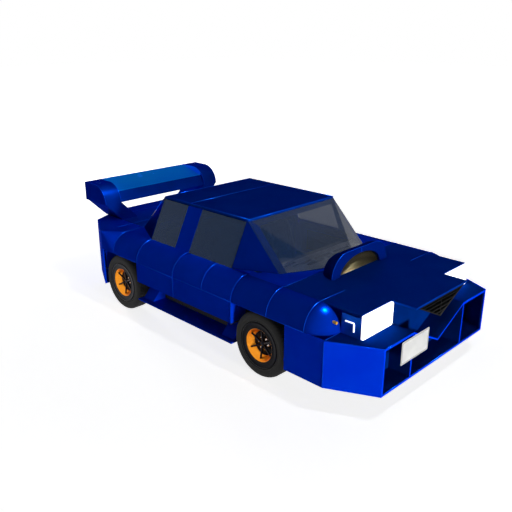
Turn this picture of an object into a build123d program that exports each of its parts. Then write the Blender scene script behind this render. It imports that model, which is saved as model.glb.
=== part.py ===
from build123d import *
import os
from math import radians, sin, cos

# A four-door sports sedan at full size, in millimetres.
# Origin: middle of the body's plan, on the ground. The nose points to -Y, +Z is up.
# The body is symmetric about X = 0, apart from the steering wheel, the exhaust and the plate.

# ---- overall layout ----
WHEELBASE = 2250.0
FRONT_OVERHANG = 1240.0
REAR_OVERHANG = 1010.0
BODY_WIDTH = 2250.0

# ---- wheels, steering and axles ----
TYRE_RADIUS = 330.0
TYRE_WIDTH = 202.0
TYRE_SHOULDER = 60.0
RIM_RADIUS = 235.0
RIM_WALL = 12.0
LIP_INNER = 166.0
DISH_FLOOR = 122.0
DISH_DEPTH = 76.0
SPOKES = 6
SPOKE_DEPTH = 26.0
SPOKE_WIDTH = 20.0
HUB_DEPTH = 50.0
HUB_CAP = 36.0
HUB_RADIUS = 76.0
BOLTS = 6
BOLT_CIRCLE = 114.3
BOLT_HOLE_RADIUS = 7.5
WHEEL_FACE_INSET = 23.0
KNUCKLE_HEIGHT = 180.0
KNUCKLE_SIZE = 70.0
KNUCKLE_INNER = -35.0
KNUCKLE_OUTER = 1.0
STUB_RADIUS = 45.0
STUB_FACE = 5.7
AXLE_FACE = -30.0
AXLE_TUBE = 34.0
AXLE_ROOM = 36.0
ARCH_ROOM = 15.0
STEER_ANGLE = 32.0
STEER_GAP = 0.5
SILL_WIDTH = 95.0
ARM_THICK = 30.0
ARM_TIP = -14.0

# ---- heights above the ground; body and trunk floor clear the wheels and the axle ----
UNDERSIDE = 225.0
DOOR_BOTTOM = 450.0
SHOULDER_RADIUS = 225.0
GLASS_HEIGHT = 460.0
ROOF_THICK = 18.0
ARCH_TOP = 2 * TYRE_RADIUS + ARCH_ROOM
SHOULDER_TOP = ARCH_TOP + SHOULDER_RADIUS
ROOF_TOP = SHOULDER_TOP + GLASS_HEIGHT
TRUNK_FLOOR = TYRE_RADIUS + AXLE_TUBE + AXLE_ROOM

# ---- plan of the body ----
ARCH_HALF = TYRE_RADIUS + ARCH_ROOM
FRONT_DOOR_LENGTH = 900.0
CORNER_LENGTH = 450.0
CORNER_WIDTH = 225.0
NOSE_STEP = 225.0
TAIL_STEP = 225.0
TAIL_FLAT_HALF = 450.0
LAMP_INNER = 450.0
SQUARE_UP_LENGTH = 225.0

# ---- glasshouse ----
ROOF_HALF = 675.0
ROOF_FRONT_SETBACK = 225.0
SCREEN_CORNER_RUN = 450.0
SCREEN_RUN = 675.0
SCREEN_FLAT_HALF = 225.0
REAR_WINDOW_RUN = 450.0
B_PANEL_LENGTH = 225.0

# ---- thicknesses and gaps ----
PANEL_GAP = 8.0
SKIN = 20.0
GLASS = 6.0
PILLAR = 45.0
B_PANEL = 25.0
RAIL_INSET = 35.0
RAIL_DEPTH = 45.0
RAIL_HEIGHT = 55.0
DOOR_LEDGE = 20.0
DOOR_INNER = 195.0
SEAT_GAP = 0.3
HINGE_INSET = 7.0
HINGE_PIN = 3.5
HINGE_ARM = 12.0
GUTTER = 30.0
JACK_PAD_RADIUS = 30.0
JACK_PAD_THICK = 8.0
JACK_PAD_INSET = 155.0

# ---- cabin and trunk ----
FIREWALL_SETBACK = 130.0
SHELF_DEPTH = 225.0
SEAT_WIDTH = 480.0
SEAT_OFFSET = 390.0
CUSHION_HEIGHT = 225.0
CUSHION_LENGTH = 430.0
SEAT_BACK_RAKE = 210.0
SEAT_BACK_THICK = 90.0
BENCH_GAP = 25.0
TUNNEL_HALF = 110.0
TUNNEL_HEIGHT = 120.0
COLUMN_RAKE = 65.0
WHEEL_RIM_RADIUS = 170.0
WHEEL_RIM_THICK = 14.0

# ---- nose ----
PLATE_WIDTH = 440.0
PLATE_HEIGHT = 220.0
PLATE_THICK = 4.0
DIVIDER = 18.0
TROUGH_DROP = 225.0
TROUGH_THICK = 16.0
GRILLE_DEPTH = 120.0
GRILLE_WALL = 12.0
GRILLE_BAR = 9.0
GRILLE_BAR_INSET = 5.0
GRILLE_BAR_DEPTH = 24.0
GRILLE_BARS = 4
GRILLE_GAP = 6.0
GRILLE_TIE = 40.0
LENS_THICK = 14.0
LAMP_WALL = 14.0
LAMP_GAP = 6.0

# ---- hood, trunk and wing ----
LID_HALF = 675.0
HOOD_THICK = 18.0
HOOD_RIB = 40.0
HOOD_RIB_DEPTH = 7.0
SCOOP_HALF = 450.0
SCOOP_HEIGHT = 225.0
SCOOP_WALL = 12.0
WING_POD = 225.0
WING_LENGTH = 450.0
WING_TOP = 450.0

# ---- derived stations ----
length = FRONT_OVERHANG + WHEELBASE + REAR_OVERHANG
nose_y = -length / 2
tail_y = length / 2
half = BODY_WIDTH / 2
front_axle_y = nose_y + FRONT_OVERHANG
rear_axle_y = front_axle_y + WHEELBASE
front_arch_y = front_axle_y - ARCH_HALF
door_front_y = front_axle_y + ARCH_HALF
door_split_y = door_front_y + FRONT_DOOR_LENGTH
door_rear_y = rear_axle_y - ARCH_HALF
rear_arch_y = rear_axle_y + ARCH_HALF
lamp_y = nose_y + NOSE_STEP
corner_y = nose_y + CORNER_LENGTH
tail_corner_y = tail_y - TAIL_STEP
line_half = half - SHOULDER_RADIUS
roof_under = ROOF_TOP - ROOF_THICK
roof_front_y = door_front_y + ROOF_FRONT_SETBACK
roof_rear_y = door_rear_y
cowl_y = roof_front_y - SCREEN_RUN
screen_corner_y = roof_front_y - SCREEN_CORNER_RUN
rear_glass_y = roof_rear_y + REAR_WINDOW_RUN
floor_top = UNDERSIDE + SKIN
sill_top = DOOR_BOTTOM - 10
wheel_x = half - WHEEL_FACE_INSET - TYRE_WIDTH / 2
steer_room = TYRE_RADIUS * sin(radians(STEER_ANGLE)) + TYRE_WIDTH / 2 * cos(radians(STEER_ANGLE))
house_x = wheel_x - steer_room - STEER_GAP
rear_house_x = wheel_x - TYRE_WIDTH / 2 - 40
corner_half = half - CORNER_WIDTH
firewall_y = door_front_y - FIREWALL_SETBACK
bulkhead_y = rear_glass_y - SHELF_DEPTH
behind_plate_y = nose_y + PLATE_THICK + SEAT_GAP
door_hinge_x = half - HINGE_INSET
door_hinge_ys = [y + PANEL_GAP / 2 + HINGE_INSET for y in (door_front_y, door_split_y)]
wing_wall_top = SHOULDER_TOP - HOOD_THICK - 12


# ---- small makers ----
def slab(points, low, high):
    """A plan outline raised from one height to another."""
    outline = make_face(Polyline(*points, close=True))
    return extrude(Plane.XY.offset(low) * outline, high - low)


def side_prism(points, x_low, x_high):
    """A (y, z) outline carried across the car."""
    outline = make_face(Polyline(*points, close=True))
    return extrude(Plane.YZ.offset(x_low) * outline, x_high - x_low)


def run_prism(face, y_low, y_high):
    """An (x, z) face carried along the car."""
    return extrude(Plane.XZ.offset(-y_high) * face, y_high - y_low)


def block(x, y, z):
    """A box from three (low, high) pairs."""
    size = [pair[1] - pair[0] for pair in (x, y, z)]
    middle = [(pair[1] + pair[0]) / 2 for pair in (x, y, z)]
    return Pos(*middle) * Box(*size)


def mirrored(shape):
    """The same piece on the other side of the car."""
    return mirror(shape, about=Plane.YZ)


def both(shape):
    """A piece and its mirror image, as separate solids."""
    return Compound(list(shape.solids()) + list(mirrored(shape).solids()))


def beneath(shape, point, normal):
    """The part of a shape on the inner side of a plane."""
    return split(shape, bisect_by=Plane(origin=point, z_dir=normal), keep=Keep.BOTTOM)


def tube_x(radius, x_low, x_high, y, z):
    """A round bar along X."""
    bar = Cylinder(radius, x_high - x_low, rotation=(0, 90, 0))
    return Pos((x_low + x_high) / 2, y, z) * bar


# ---- glasshouse: a convex form bounded by flat planes ----
def outward_plane(name, a, b, c):
    """A plane through three points, with its normal turned away from the cabin."""
    inside = Vector(0, (roof_front_y + roof_rear_y) / 2, SHOULDER_TOP)
    normal = (Vector(*b) - Vector(*a)).cross(Vector(*c) - Vector(*a)).normalized()
    if normal.dot(inside - Vector(*a)) > 0:
        normal = normal * -1
    return name, Vector(*a), normal


def glasshouse_planes():
    """The planes of the screen, corners, sides and rear window."""
    top = ROOF_TOP
    base = SHOULDER_TOP
    planes = [
        outward_plane("screen", (0, roof_front_y, top), (100, roof_front_y, top), (0, cowl_y, base)),
        outward_plane("rear", (0, roof_rear_y, top), (100, roof_rear_y, top), (0, rear_glass_y, base)),
    ]
    for side in (-1, 1):
        roof_x = side * ROOF_HALF
        base_x = side * line_half
        flat_x = side * SCREEN_FLAT_HALF
        corner = (roof_x, screen_corner_y, base)
        front_top = (roof_x, roof_front_y, top)
        rear_top = (roof_x, roof_rear_y, top)
        planes += [
            outward_plane("side", front_top, rear_top, (base_x, roof_front_y, base)),
            outward_plane("screen", front_top, corner, (flat_x, cowl_y, base)),
            outward_plane("front_corner", front_top, (base_x, roof_front_y, base), corner),
            outward_plane("rear_corner", rear_top, (base_x, roof_rear_y, base),
                          (roof_x, rear_glass_y, base)),
        ]
    return planes


def glasshouse(low, high, **inset):
    """The glasshouse between two heights, each kind of plane moved in by its inset."""
    form = block((-half, half), (cowl_y - 50, rear_glass_y + 50), (low, high))
    for name, point, normal in glasshouse_planes():
        depth = inset.get(name, inset.get("every", 0.0))
        form = beneath(form, point - normal * depth, normal)
    return form


def make_roof_panel():
    return glasshouse(roof_under, ROOF_TOP)


def make_cabin_frame():
    """Corner pillars, rails under the roof and the posts between the doors, in one frame."""
    cabin = glasshouse(SHOULDER_TOP, roof_under, screen=GLASS, rear=GLASS)
    front = cabin - glasshouse(SHOULDER_TOP, roof_under, screen=GLASS, rear=GLASS, front_corner=PILLAR)
    front = beneath(front, (0, roof_front_y, 0), (0, 1, 0))
    rear = cabin - glasshouse(SHOULDER_TOP, roof_under, screen=GLASS, rear=GLASS, rear_corner=PILLAR)
    rear = beneath(rear, (0, roof_rear_y + PANEL_GAP / 2, 0), (0, -1, 0))
    rail_low = roof_under - RAIL_HEIGHT
    rails = glasshouse(rail_low, roof_under, every=RAIL_INSET)
    rails -= glasshouse(rail_low, roof_under, every=RAIL_INSET + RAIL_DEPTH)
    post_y = (door_split_y + 40, door_split_y + B_PANEL_LENGTH - 35)
    inner = glasshouse(SHOULDER_TOP, roof_under, every=RAIL_INSET)
    inner -= glasshouse(SHOULDER_TOP, roof_under, every=RAIL_INSET + RAIL_DEPTH)
    upper = inner & block((-half, half), post_y, (SHOULDER_TOP, roof_under))
    post_out = line_half - RAIL_INSET
    lower = block((post_out - 62, post_out), post_y, (sill_top, SHOULDER_TOP))
    return front + rear + rails + upper + lower + mirrored(lower)


def make_fixed_glass():
    """The bowed windscreen and the rear window."""
    outer = glasshouse(SHOULDER_TOP, roof_under)
    screen = outer - glasshouse(SHOULDER_TOP, roof_under, screen=GLASS)
    rear = outer - glasshouse(SHOULDER_TOP, roof_under, rear=GLASS)
    return Compound(list(screen.solids()) + list(rear.solids()))


def side_pane(y_low, y_high, thick):
    """A pane in the sloping side plane of the car's left (+X) side."""
    top = roof_under - PANEL_GAP
    pane = glasshouse(SHOULDER_TOP, top) - glasshouse(SHOULDER_TOP, top, side=thick)
    return pane & block((0, half), (y_low, y_high), (SHOULDER_TOP, top))


# ---- body sides ----
def make_front_fender():
    """A hollow round shoulder over the wheel, closed ahead by a quarter ball."""
    dome_y = corner_y + SHOULDER_RADIUS
    low = ARCH_TOP
    start = door_front_y - PANEL_GAP / 2
    outer = make_face([
        CenterArc((line_half, low), SHOULDER_RADIUS, 0, 90),
        Line((line_half, SHOULDER_TOP), (line_half, low)),
        Line((line_half, low), (half, low)),
    ])
    inner_radius = SHOULDER_RADIUS - SKIN
    corner_z = low + (inner_radius ** 2 - SKIN ** 2) ** 0.5
    mid = radians(40)
    inner = make_face([
        ThreePointArc((line_half + inner_radius, low),
                      (line_half + inner_radius * cos(mid), low + inner_radius * sin(mid)),
                      (line_half + SKIN, corner_z)),
        Line((line_half + SKIN, corner_z), (line_half + SKIN, low)),
        Line((line_half + SKIN, low), (line_half + inner_radius, low)),
    ])
    shell = run_prism(outer, dome_y, start) - run_prism(inner, dome_y, start)
    ball = Pos(line_half, dome_y, low) * (Sphere(SHOULDER_RADIUS) - Sphere(inner_radius))
    room = block((line_half, half), (dome_y - SHOULDER_RADIUS, dome_y), (low, SHOULDER_TOP))
    wall = Pos(line_half + SKIN / 2, dome_y, low) * Cylinder(SHOULDER_RADIUS, SKIN, rotation=(0, 90, 0))
    return shell + (ball & room) + (wall & room)


def corner_spandrel(radius, y):
    """The corner left outside an arc of a given radius, as a section of the body side."""
    face = make_face([
        Line((half - radius, SHOULDER_TOP), (half, SHOULDER_TOP)),
        Line((half, SHOULDER_TOP), (half, SHOULDER_TOP - radius)),
        CenterArc((half - radius, SHOULDER_TOP - radius), radius, 0, 90),
    ])
    return Plane.XZ.offset(-y) * face


def make_rear_quarter():
    """A hollow rear quarter: round shoulder, squared up towards a flat tail."""
    start = door_rear_y + PANEL_GAP / 2
    edge = LID_HALF + PANEL_GAP / 2
    lid_tail = tail_y - TAIL_STEP * (edge - TAIL_FLAT_HALF) / (corner_half - TAIL_FLAT_HALF)
    outline = [
        (edge, start), (half, start), (half, rear_arch_y),
        (corner_half, tail_corner_y), (edge, lid_tail),
    ]
    inner_tail = lid_tail - SKIN
    hollow = [
        (edge + SKIN, start + SKIN), (half - SKIN, start + SKIN), (half - SKIN, rear_arch_y - 4),
        (corner_half - SKIN, tail_corner_y - SKIN), (edge + SKIN, inner_tail),
    ]
    form = slab(outline, ARCH_TOP, SHOULDER_TOP)
    square_y = rear_arch_y - SQUARE_UP_LENGTH
    round_cut = extrude(corner_spandrel(SHOULDER_RADIUS, square_y), square_y - start + 1)
    fade = loft([corner_spandrel(SHOULDER_RADIUS, square_y), corner_spandrel(4.0, rear_arch_y)])
    inside = slab(hollow, ARCH_TOP - 1, SHOULDER_TOP - SKIN)
    inner_arc = make_face([
        Line((half - SHOULDER_RADIUS, SHOULDER_TOP), (half, SHOULDER_TOP)),
        Line((half, SHOULDER_TOP), (half, ARCH_TOP)),
        Line((half, ARCH_TOP), (half - SKIN, ARCH_TOP)),
        CenterArc((line_half, ARCH_TOP), SHOULDER_RADIUS - SKIN, 0, 90),
        Line((line_half, SHOULDER_TOP - SKIN), (line_half, SHOULDER_TOP)),
    ])
    inside -= run_prism(inner_arc, start, rear_arch_y)
    form -= round_cut
    form -= fade
    form -= inside
    gutter = block((edge - GUTTER, edge + 1), (rear_glass_y, tail_corner_y - 30),
                   (SHOULDER_TOP - HOOD_THICK - 14, SHOULDER_TOP - HOOD_THICK - SEAT_GAP))
    return form + gutter


# ---- doors ----
def door_section(floor_z):
    """Cross-section of a door: round shoulder outside, slim ledge on top, flat trim inside."""
    inner = half - DOOR_INNER
    ledge = line_half - DOOR_LEDGE
    return make_face([
        Line((ledge, SHOULDER_TOP), (line_half, SHOULDER_TOP)),
        CenterArc((line_half, ARCH_TOP), SHOULDER_RADIUS, 0, 90),
        Line((half, ARCH_TOP), (half, floor_z)),
        Line((half, floor_z), (inner + 40, floor_z)),
        Line((inner + 40, floor_z), (inner, floor_z + 40)),
        Line((inner, floor_z + 40), (inner, SHOULDER_TOP - 90)),
        Line((inner, SHOULDER_TOP - 90), (ledge, SHOULDER_TOP - 45)),
        Line((ledge, SHOULDER_TOP - 45), (ledge, SHOULDER_TOP)),
    ])


def door_shell(y_front, y_rear):
    """A door body whose rear face follows the circle that it swings on, with its hinge hole."""
    hinge_y = y_front + PANEL_GAP / 2 + HINGE_INSET
    body = run_prism(door_section(DOOR_BOTTOM), y_front + PANEL_GAP / 2, y_rear)
    swing = y_rear - PANEL_GAP / 2 - hinge_y
    reach = Pos(door_hinge_x, hinge_y, SHOULDER_TOP / 2) * Cylinder(swing, SHOULDER_TOP + 100)
    hole = Pos(door_hinge_x, hinge_y, DOOR_BOTTOM) * Cylinder(HINGE_PIN + SEAT_GAP, 40)
    return (body & reach) - hole


def make_hinge_arms():
    """Arms out of the left sill that carry the two doors, each with its pin."""
    top = DOOR_BOTTOM - SEAT_GAP
    arms = []
    for y in door_hinge_ys:
        arm = block((line_half - 60, door_hinge_x), (y - 7, y + 7), (top - HINGE_ARM, top))
        arm += Pos(door_hinge_x, y, top - HINGE_ARM / 2) * Cylinder(7, HINGE_ARM)
        arm += Pos(door_hinge_x, y, top + 7) * Cylinder(HINGE_PIN, 16)
        arms.append(arm)
    return arms[0] + arms[1]


def make_front_door():
    """Left front door; its top ledge stops where the screen pillar stands."""
    door = door_shell(door_front_y, door_split_y)
    notch = block((line_half - 50, line_half + 6), (door_front_y, roof_front_y + PANEL_GAP / 2),
                  (SHOULDER_TOP - 45, SHOULDER_TOP + 1))
    return door - notch


def make_front_glass():
    return side_pane(roof_front_y + PANEL_GAP, door_split_y - PANEL_GAP / 2, GLASS)


def make_rear_door():
    """Left rear door, with the broad panel ahead of its window."""
    door = door_shell(door_split_y, door_rear_y)
    panel = side_pane(door_split_y + PANEL_GAP / 2, door_split_y + B_PANEL_LENGTH, B_PANEL)
    return door + panel


def make_rear_glass():
    return side_pane(door_split_y + B_PANEL_LENGTH, door_rear_y - PANEL_GAP, GLASS)


# ---- underbody ----
def make_floor_pan():
    """Floor with a tunnel, sills and jack pads, stepped up behind the seats to clear the rear axle."""
    wide = line_half - 5
    front_half = house_x - SKIN
    rear_half = rear_house_x - SKIN
    floor = (UNDERSIDE, floor_top)
    kick_y = bulkhead_y + SKIN
    plate = block((-wide, wide), (door_front_y, door_rear_y), floor)
    plate += block((-front_half, front_half), (lamp_y + SKIN, door_front_y), floor)
    plate += block((-rear_half, rear_half), (door_rear_y, kick_y), floor)
    plate += block((-rear_half, rear_half), (bulkhead_y, kick_y), (floor_top, TRUNK_FLOOR))
    trunk = block((-rear_half, rear_half), (bulkhead_y, rear_arch_y + SKIN + 5),
                  (TRUNK_FLOOR, TRUNK_FLOOR + SKIN))
    tail = extrude(Plane.XY.offset(TRUNK_FLOOR) * tail_face(SKIN + SEAT_GAP), SKIN)
    tunnel = block((-TUNNEL_HALF, TUNNEL_HALF), (firewall_y + SKIN, bulkhead_y),
                   (floor_top, floor_top + TUNNEL_HEIGHT))
    sill = block((line_half - SILL_WIDTH, wide), (door_front_y, door_rear_y), (floor_top, sill_top))
    side = sill + make_hinge_arms()
    for y in (door_front_y + JACK_PAD_INSET, door_rear_y - JACK_PAD_INSET):
        pad = Cylinder(JACK_PAD_RADIUS, JACK_PAD_THICK + SKIN / 2,
                       align=(Align.CENTER, Align.CENTER, Align.MIN))
        side += Pos(line_half - SILL_WIDTH / 2, y, UNDERSIDE - JACK_PAD_THICK) * pad
    return plate + trunk + tail + tunnel + side + mirrored(side)


def make_wheelhouses():
    """Inner wings over the front wheels and arches over the rear wheels."""
    roof = (ARCH_TOP, ARCH_TOP + 12)
    shelf_out = half - SKIN - 3
    strip_in = line_half + SKIN
    front_in = house_x - SKIN
    wall = block((front_in, house_x), (corner_y, door_front_y), (floor_top, wing_wall_top))
    wall -= block((front_in - 1, house_x + 1), (front_axle_y - 120, front_axle_y + 120), (floor_top, 520))
    cover = block((house_x, line_half), (front_arch_y, door_front_y - 12), roof)
    strip = block((strip_in, shelf_out), (front_arch_y, door_front_y - PANEL_GAP - 4), roof)
    back = block((house_x, line_half - 30), (door_front_y - 12, door_front_y),
                 (UNDERSIDE, SHOULDER_TOP - SKIN))
    front = wall + cover + back
    buffer_top = SHOULDER_TOP - HOOD_THICK - SEAT_GAP
    for y in (corner_y + 60, cowl_y - 60):
        front += block((front_in, house_x), (y - 15, y + 15), (wing_wall_top, buffer_top))
    rear_wall = block((rear_house_x - SKIN, rear_house_x), (door_rear_y, rear_arch_y),
                      (floor_top, ARCH_TOP))
    rear_start = door_rear_y + PANEL_GAP / 2 + SKIN
    rear_cover = block((rear_house_x, shelf_out), (rear_start, rear_arch_y), roof)
    rear_front = block((rear_house_x, line_half - 5), (door_rear_y, door_rear_y + 10), (floor_top, ARCH_TOP))
    rear_back = block((rear_house_x, shelf_out - 20), (rear_arch_y, rear_arch_y + 10),
                      (TRUNK_FLOOR + SKIN, ARCH_TOP))
    rear = rear_wall + rear_cover + rear_front + rear_back
    rear -= tube_x(AXLE_TUBE + 26, rear_house_x - SKIN - 1, rear_house_x + 1, rear_axle_y, TYRE_RADIUS)
    pieces = list(front.solids()) + list(strip.solids()) + list(rear.solids())
    return Compound(pieces + [mirrored(piece) for piece in pieces])


def make_bulkheads():
    """Firewall with its cowl top, and the seat bulkhead with the parcel shelf."""
    plate_low = SHOULDER_TOP - SKIN
    fire_half = house_x - SKIN
    firewall = block((-fire_half, fire_half), (firewall_y, firewall_y + SKIN), (floor_top, plate_low))
    open_y = firewall_y + SKIN + 50
    side = line_half - 1
    ledge = line_half - 34
    cowl = slab([
        (-side, cowl_y), (side, cowl_y), (side, door_front_y), (ledge, door_front_y),
        (ledge, roof_front_y), (ledge - 66, roof_front_y), (ledge - 66, open_y),
        (-ledge + 66, open_y), (-ledge + 66, roof_front_y), (-ledge, roof_front_y),
        (-ledge, door_front_y), (-side, door_front_y),
    ], plate_low, SHOULDER_TOP)
    edge = LID_HALF + PANEL_GAP / 2
    shelf = block((-edge, edge), (bulkhead_y, rear_glass_y), (plate_low, SHOULDER_TOP))
    wall = block((-edge, edge), (bulkhead_y, bulkhead_y + SKIN), (TRUNK_FLOOR + SKIN, plate_low))
    return Compound(list((firewall + cowl).solids()) + list((shelf + wall).solids()))


def make_side_skirt():
    """A thin plate under the recess below the doors, held by a gusset at each end."""
    plate_top = UNDERSIDE + 16
    root = line_half - 5
    y_low = door_front_y
    y_high = door_rear_y
    plate = slab([(root, y_low + 6), (half, y_low + 6), (half, y_high), (root, y_high)],
                 UNDERSIDE, plate_top)
    gusset_face = make_face(Polyline(
        (root, plate_top), (half - 60, plate_top), (root, DOOR_BOTTOM - 16), close=True))
    gussets = run_prism(gusset_face, y_high - 205, y_high - 30)
    gussets += run_prism(gusset_face, y_low + 30, y_low + 205)
    return plate + gussets


# ---- front end ----
def plan_face(points, inset):
    """A symmetric plan outline from its right half, moved in by an inset."""
    outline = make_face(Polyline(*points, *[(-x, y) for x, y in reversed(points)], close=True))
    return offset(outline, amount=-inset, kind=Kind.INTERSECTION) if inset else outline


def tail_face(inset):
    """Plan of the tail: parallel sides, angled corners and a flat middle."""
    return plan_face([(half, rear_arch_y), (corner_half, tail_corner_y), (TAIL_FLAT_HALF, tail_y)], inset)


def bumper_face(inset):
    """Plan of the front bumper: parallel sides and angled corners."""
    return plan_face([(half, front_arch_y), (half, corner_y), (corner_half, nose_y)], inset)


def make_front_bumper():
    """Wrap-round bumper: skins, lamp shelf, splitter, back wall, dividers, and the trough between them."""
    height = ARCH_TOP - UNDERSIDE
    room = 2 * half
    outer = extrude(Plane.XY.offset(UNDERSIDE) * bumper_face(0), height)
    hollow = extrude(Plane.XY.offset(UNDERSIDE - 1) * bumper_face(SKIN), height + 2)
    mouth = block((-corner_half + SKIN, corner_half - SKIN), (nose_y - 1, nose_y + SKIN + 1),
                  (UNDERSIDE - 1, ARCH_TOP + 1))
    rear_gap = block((-house_x, house_x), (front_arch_y - SKIN - 1, front_arch_y + 1),
                     (UNDERSIDE - 1, ARCH_TOP + 1))
    skin = outer - hollow - mouth - rear_gap
    splitter = outer & block((-room, room), (nose_y, lamp_y + SKIN), (UNDERSIDE, floor_top))
    shelf = outer & block((-room, room), (nose_y, corner_y), (ARCH_TOP - SKIN, ARCH_TOP))
    shelf -= block((-LAMP_INNER, LAMP_INNER), (nose_y - 1, lamp_y), (ARCH_TOP - SKIN - 1, ARCH_TOP + 1))
    wall = outer & block((-room, room), (lamp_y, lamp_y + SKIN), (UNDERSIDE, ARCH_TOP))
    wall += block((-LAMP_INNER, LAMP_INNER), (lamp_y, lamp_y + SKIN), (ARCH_TOP - SKIN, wing_wall_top))
    divider = block((LAMP_INNER - DIVIDER / 2, LAMP_INNER + DIVIDER / 2), (behind_plate_y, lamp_y + 1),
                    (UNDERSIDE, ARCH_TOP))
    return skin + splitter + shelf + wall + divider + mirrored(divider) + make_trough()


def make_trough():
    """Two plates that run down from the lamp shelves and meet on the centre line in a V."""
    plate = make_face(Polyline(
        (0, ARCH_TOP - TROUGH_DROP), (LAMP_INNER, ARCH_TOP), (LAMP_INNER, ARCH_TOP - TROUGH_THICK),
        (0, ARCH_TOP - TROUGH_DROP - TROUGH_THICK), close=True))
    side = run_prism(plate, behind_plate_y, lamp_y + 1)
    return side + mirrored(side)


def make_grille():
    """A dark V under the hood's tongue, hollow and barred in front, held by a tie to the wall behind."""
    top = SHOULDER_TOP - HOOD_THICK - GRILLE_GAP
    wide = LAMP_INNER * (top - ARCH_TOP) / SHOULDER_RADIUS
    front = nose_y + PLATE_THICK
    back = front + GRILLE_DEPTH
    outer = make_face(Polyline((-wide, top), (wide, top), (0, ARCH_TOP + 2), close=True))
    inner = offset(outer, amount=-GRILLE_WALL, kind=Kind.INTERSECTION)
    solid = run_prism(outer, front, back)
    shell = solid - run_prism(inner, front - 1, back - GRILLE_WALL)
    bar_ys = (front + GRILLE_BAR_INSET, front + GRILLE_BAR_INSET + GRILLE_BAR_DEPTH)
    bars = block((-GRILLE_BAR / 2, GRILLE_BAR / 2), bar_ys, (ARCH_TOP, top))
    for index in range(1, GRILLE_BARS + 1):
        z = ARCH_TOP + (top - ARCH_TOP) * index / (GRILLE_BARS + 1)
        bars += block((-wide, wide), bar_ys, (z, z + GRILLE_BAR))
    tie = block((-GRILLE_TIE, GRILLE_TIE), (back - GRILLE_WALL, lamp_y - SEAT_GAP),
                (top - 2 * GRILLE_TIE, top - GRILLE_TIE))
    return shell + (bars & solid) + tie


def make_headlight():
    """Lamp box on the bumper shelf, open ahead for its lens."""
    top = SHOULDER_TOP - HOOD_THICK - HOOD_RIB_DEPTH - PANEL_GAP
    front = lamp_y + LENS_THICK + SEAT_GAP
    box = block((LAMP_INNER + LAMP_GAP, line_half - 1), (front, corner_y - 6), (ARCH_TOP, top))
    hollow = block((LAMP_INNER + LAMP_GAP + LAMP_WALL, line_half - 1 - LAMP_WALL), (front - 1, corner_y - 40),
                   (ARCH_TOP + LAMP_WALL, top - LAMP_WALL))
    return box - hollow


def make_headlight_lens():
    """A lens as large as the whole lamp, ahead of the hood's edge, with rounded rims."""
    lens = block((LAMP_INNER + LAMP_GAP, line_half - 1), (lamp_y, lamp_y + LENS_THICK),
                 (ARCH_TOP + SEAT_GAP, SHOULDER_TOP - 3))
    return fillet(lens.edges().filter_by(Axis.Y), LAMP_WALL)


def make_indicator():
    """Small round lamp seated on the shoulder's round front end."""
    x = line_half + 55
    z = ARCH_TOP + 105
    dome_y = corner_y + SHOULDER_RADIUS
    lamp = Pos(x, corner_y + 40, z) * Cylinder(14, 76, rotation=(90, 0, 0))
    return lamp - Pos(line_half, dome_y, ARCH_TOP) * Sphere(SHOULDER_RADIUS + SEAT_GAP)


def make_number_plate():
    """Blank plate, 440 x 220, offset to the car's right."""
    centre_x = -LAMP_INNER + 40
    top = ARCH_TOP - 38
    plate = block((centre_x - PLATE_WIDTH / 2, centre_x + PLATE_WIDTH / 2), (nose_y, nose_y + PLATE_THICK),
                  (top - PLATE_HEIGHT, top))
    return fillet(plate.edges().filter_by(Axis.Y), 12)


# ---- hood and scoop ----
def make_hood():
    """Flat hood with a tongue between the lamps, stiffened below by a rim and crossed ribs."""
    side = line_half - PANEL_GAP
    rear = cowl_y - PANEL_GAP
    front = lamp_y + LENS_THICK + PANEL_GAP
    outline = [
        (-side, rear), (side, rear), (side, front), (LAMP_INNER, front),
        (LAMP_INNER, nose_y), (-LAMP_INNER, nose_y), (-LAMP_INNER, front), (-side, front),
    ]
    under = SHOULDER_TOP - HOOD_THICK
    panel = slab(outline, under, SHOULDER_TOP)
    rib_side = house_x - SKIN - PANEL_GAP
    ribs = []
    for x in (-rib_side, -LAMP_INNER, LAMP_INNER - HOOD_RIB, rib_side - HOOD_RIB):
        ribs.append(block((x, x + HOOD_RIB), (front + 100, rear - 100), (under - HOOD_RIB_DEPTH, under)))
    for y in (front + 100, (front + rear) / 2, rear - 100 - HOOD_RIB):
        ribs.append(block((-rib_side, rib_side), (y, y + HOOD_RIB), (under - HOOD_RIB_DEPTH, under)))
    for rib in ribs:
        panel += rib
    return panel


def scoop_form(half_width, radius, y_open):
    """A form with rolls at the back and both sides, joined by quarter balls."""
    core = half_width - radius
    form = Pos(0, y_open, SHOULDER_TOP) * Cylinder(radius, 2 * core, rotation=(0, 90, 0))
    for side in (-1, 1):
        form += Pos(side * core, y_open, SHOULDER_TOP) * Sphere(radius)
    keep = block((-half_width, half_width), (y_open, y_open + radius),
                 (SHOULDER_TOP, SHOULDER_TOP + radius))
    return form & keep


def make_hood_scoop():
    """A hollow half-round scoop with an arched mouth in its flat front."""
    mouth_y = cowl_y - PANEL_GAP - SCOOP_HEIGHT
    wall = SCOOP_WALL
    form = scoop_form(SCOOP_HALF, SCOOP_HEIGHT, mouth_y)
    form -= scoop_form(SCOOP_HALF - wall, SCOOP_HEIGHT - wall, mouth_y + wall)
    mouth = Pos(0, SHOULDER_TOP) * Ellipse(SCOOP_HALF * 0.73, SCOOP_HEIGHT * 0.77)
    arch = Plane.XZ.offset(-mouth_y + 1) * mouth
    return form - extrude(arch, -wall - 2)


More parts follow.
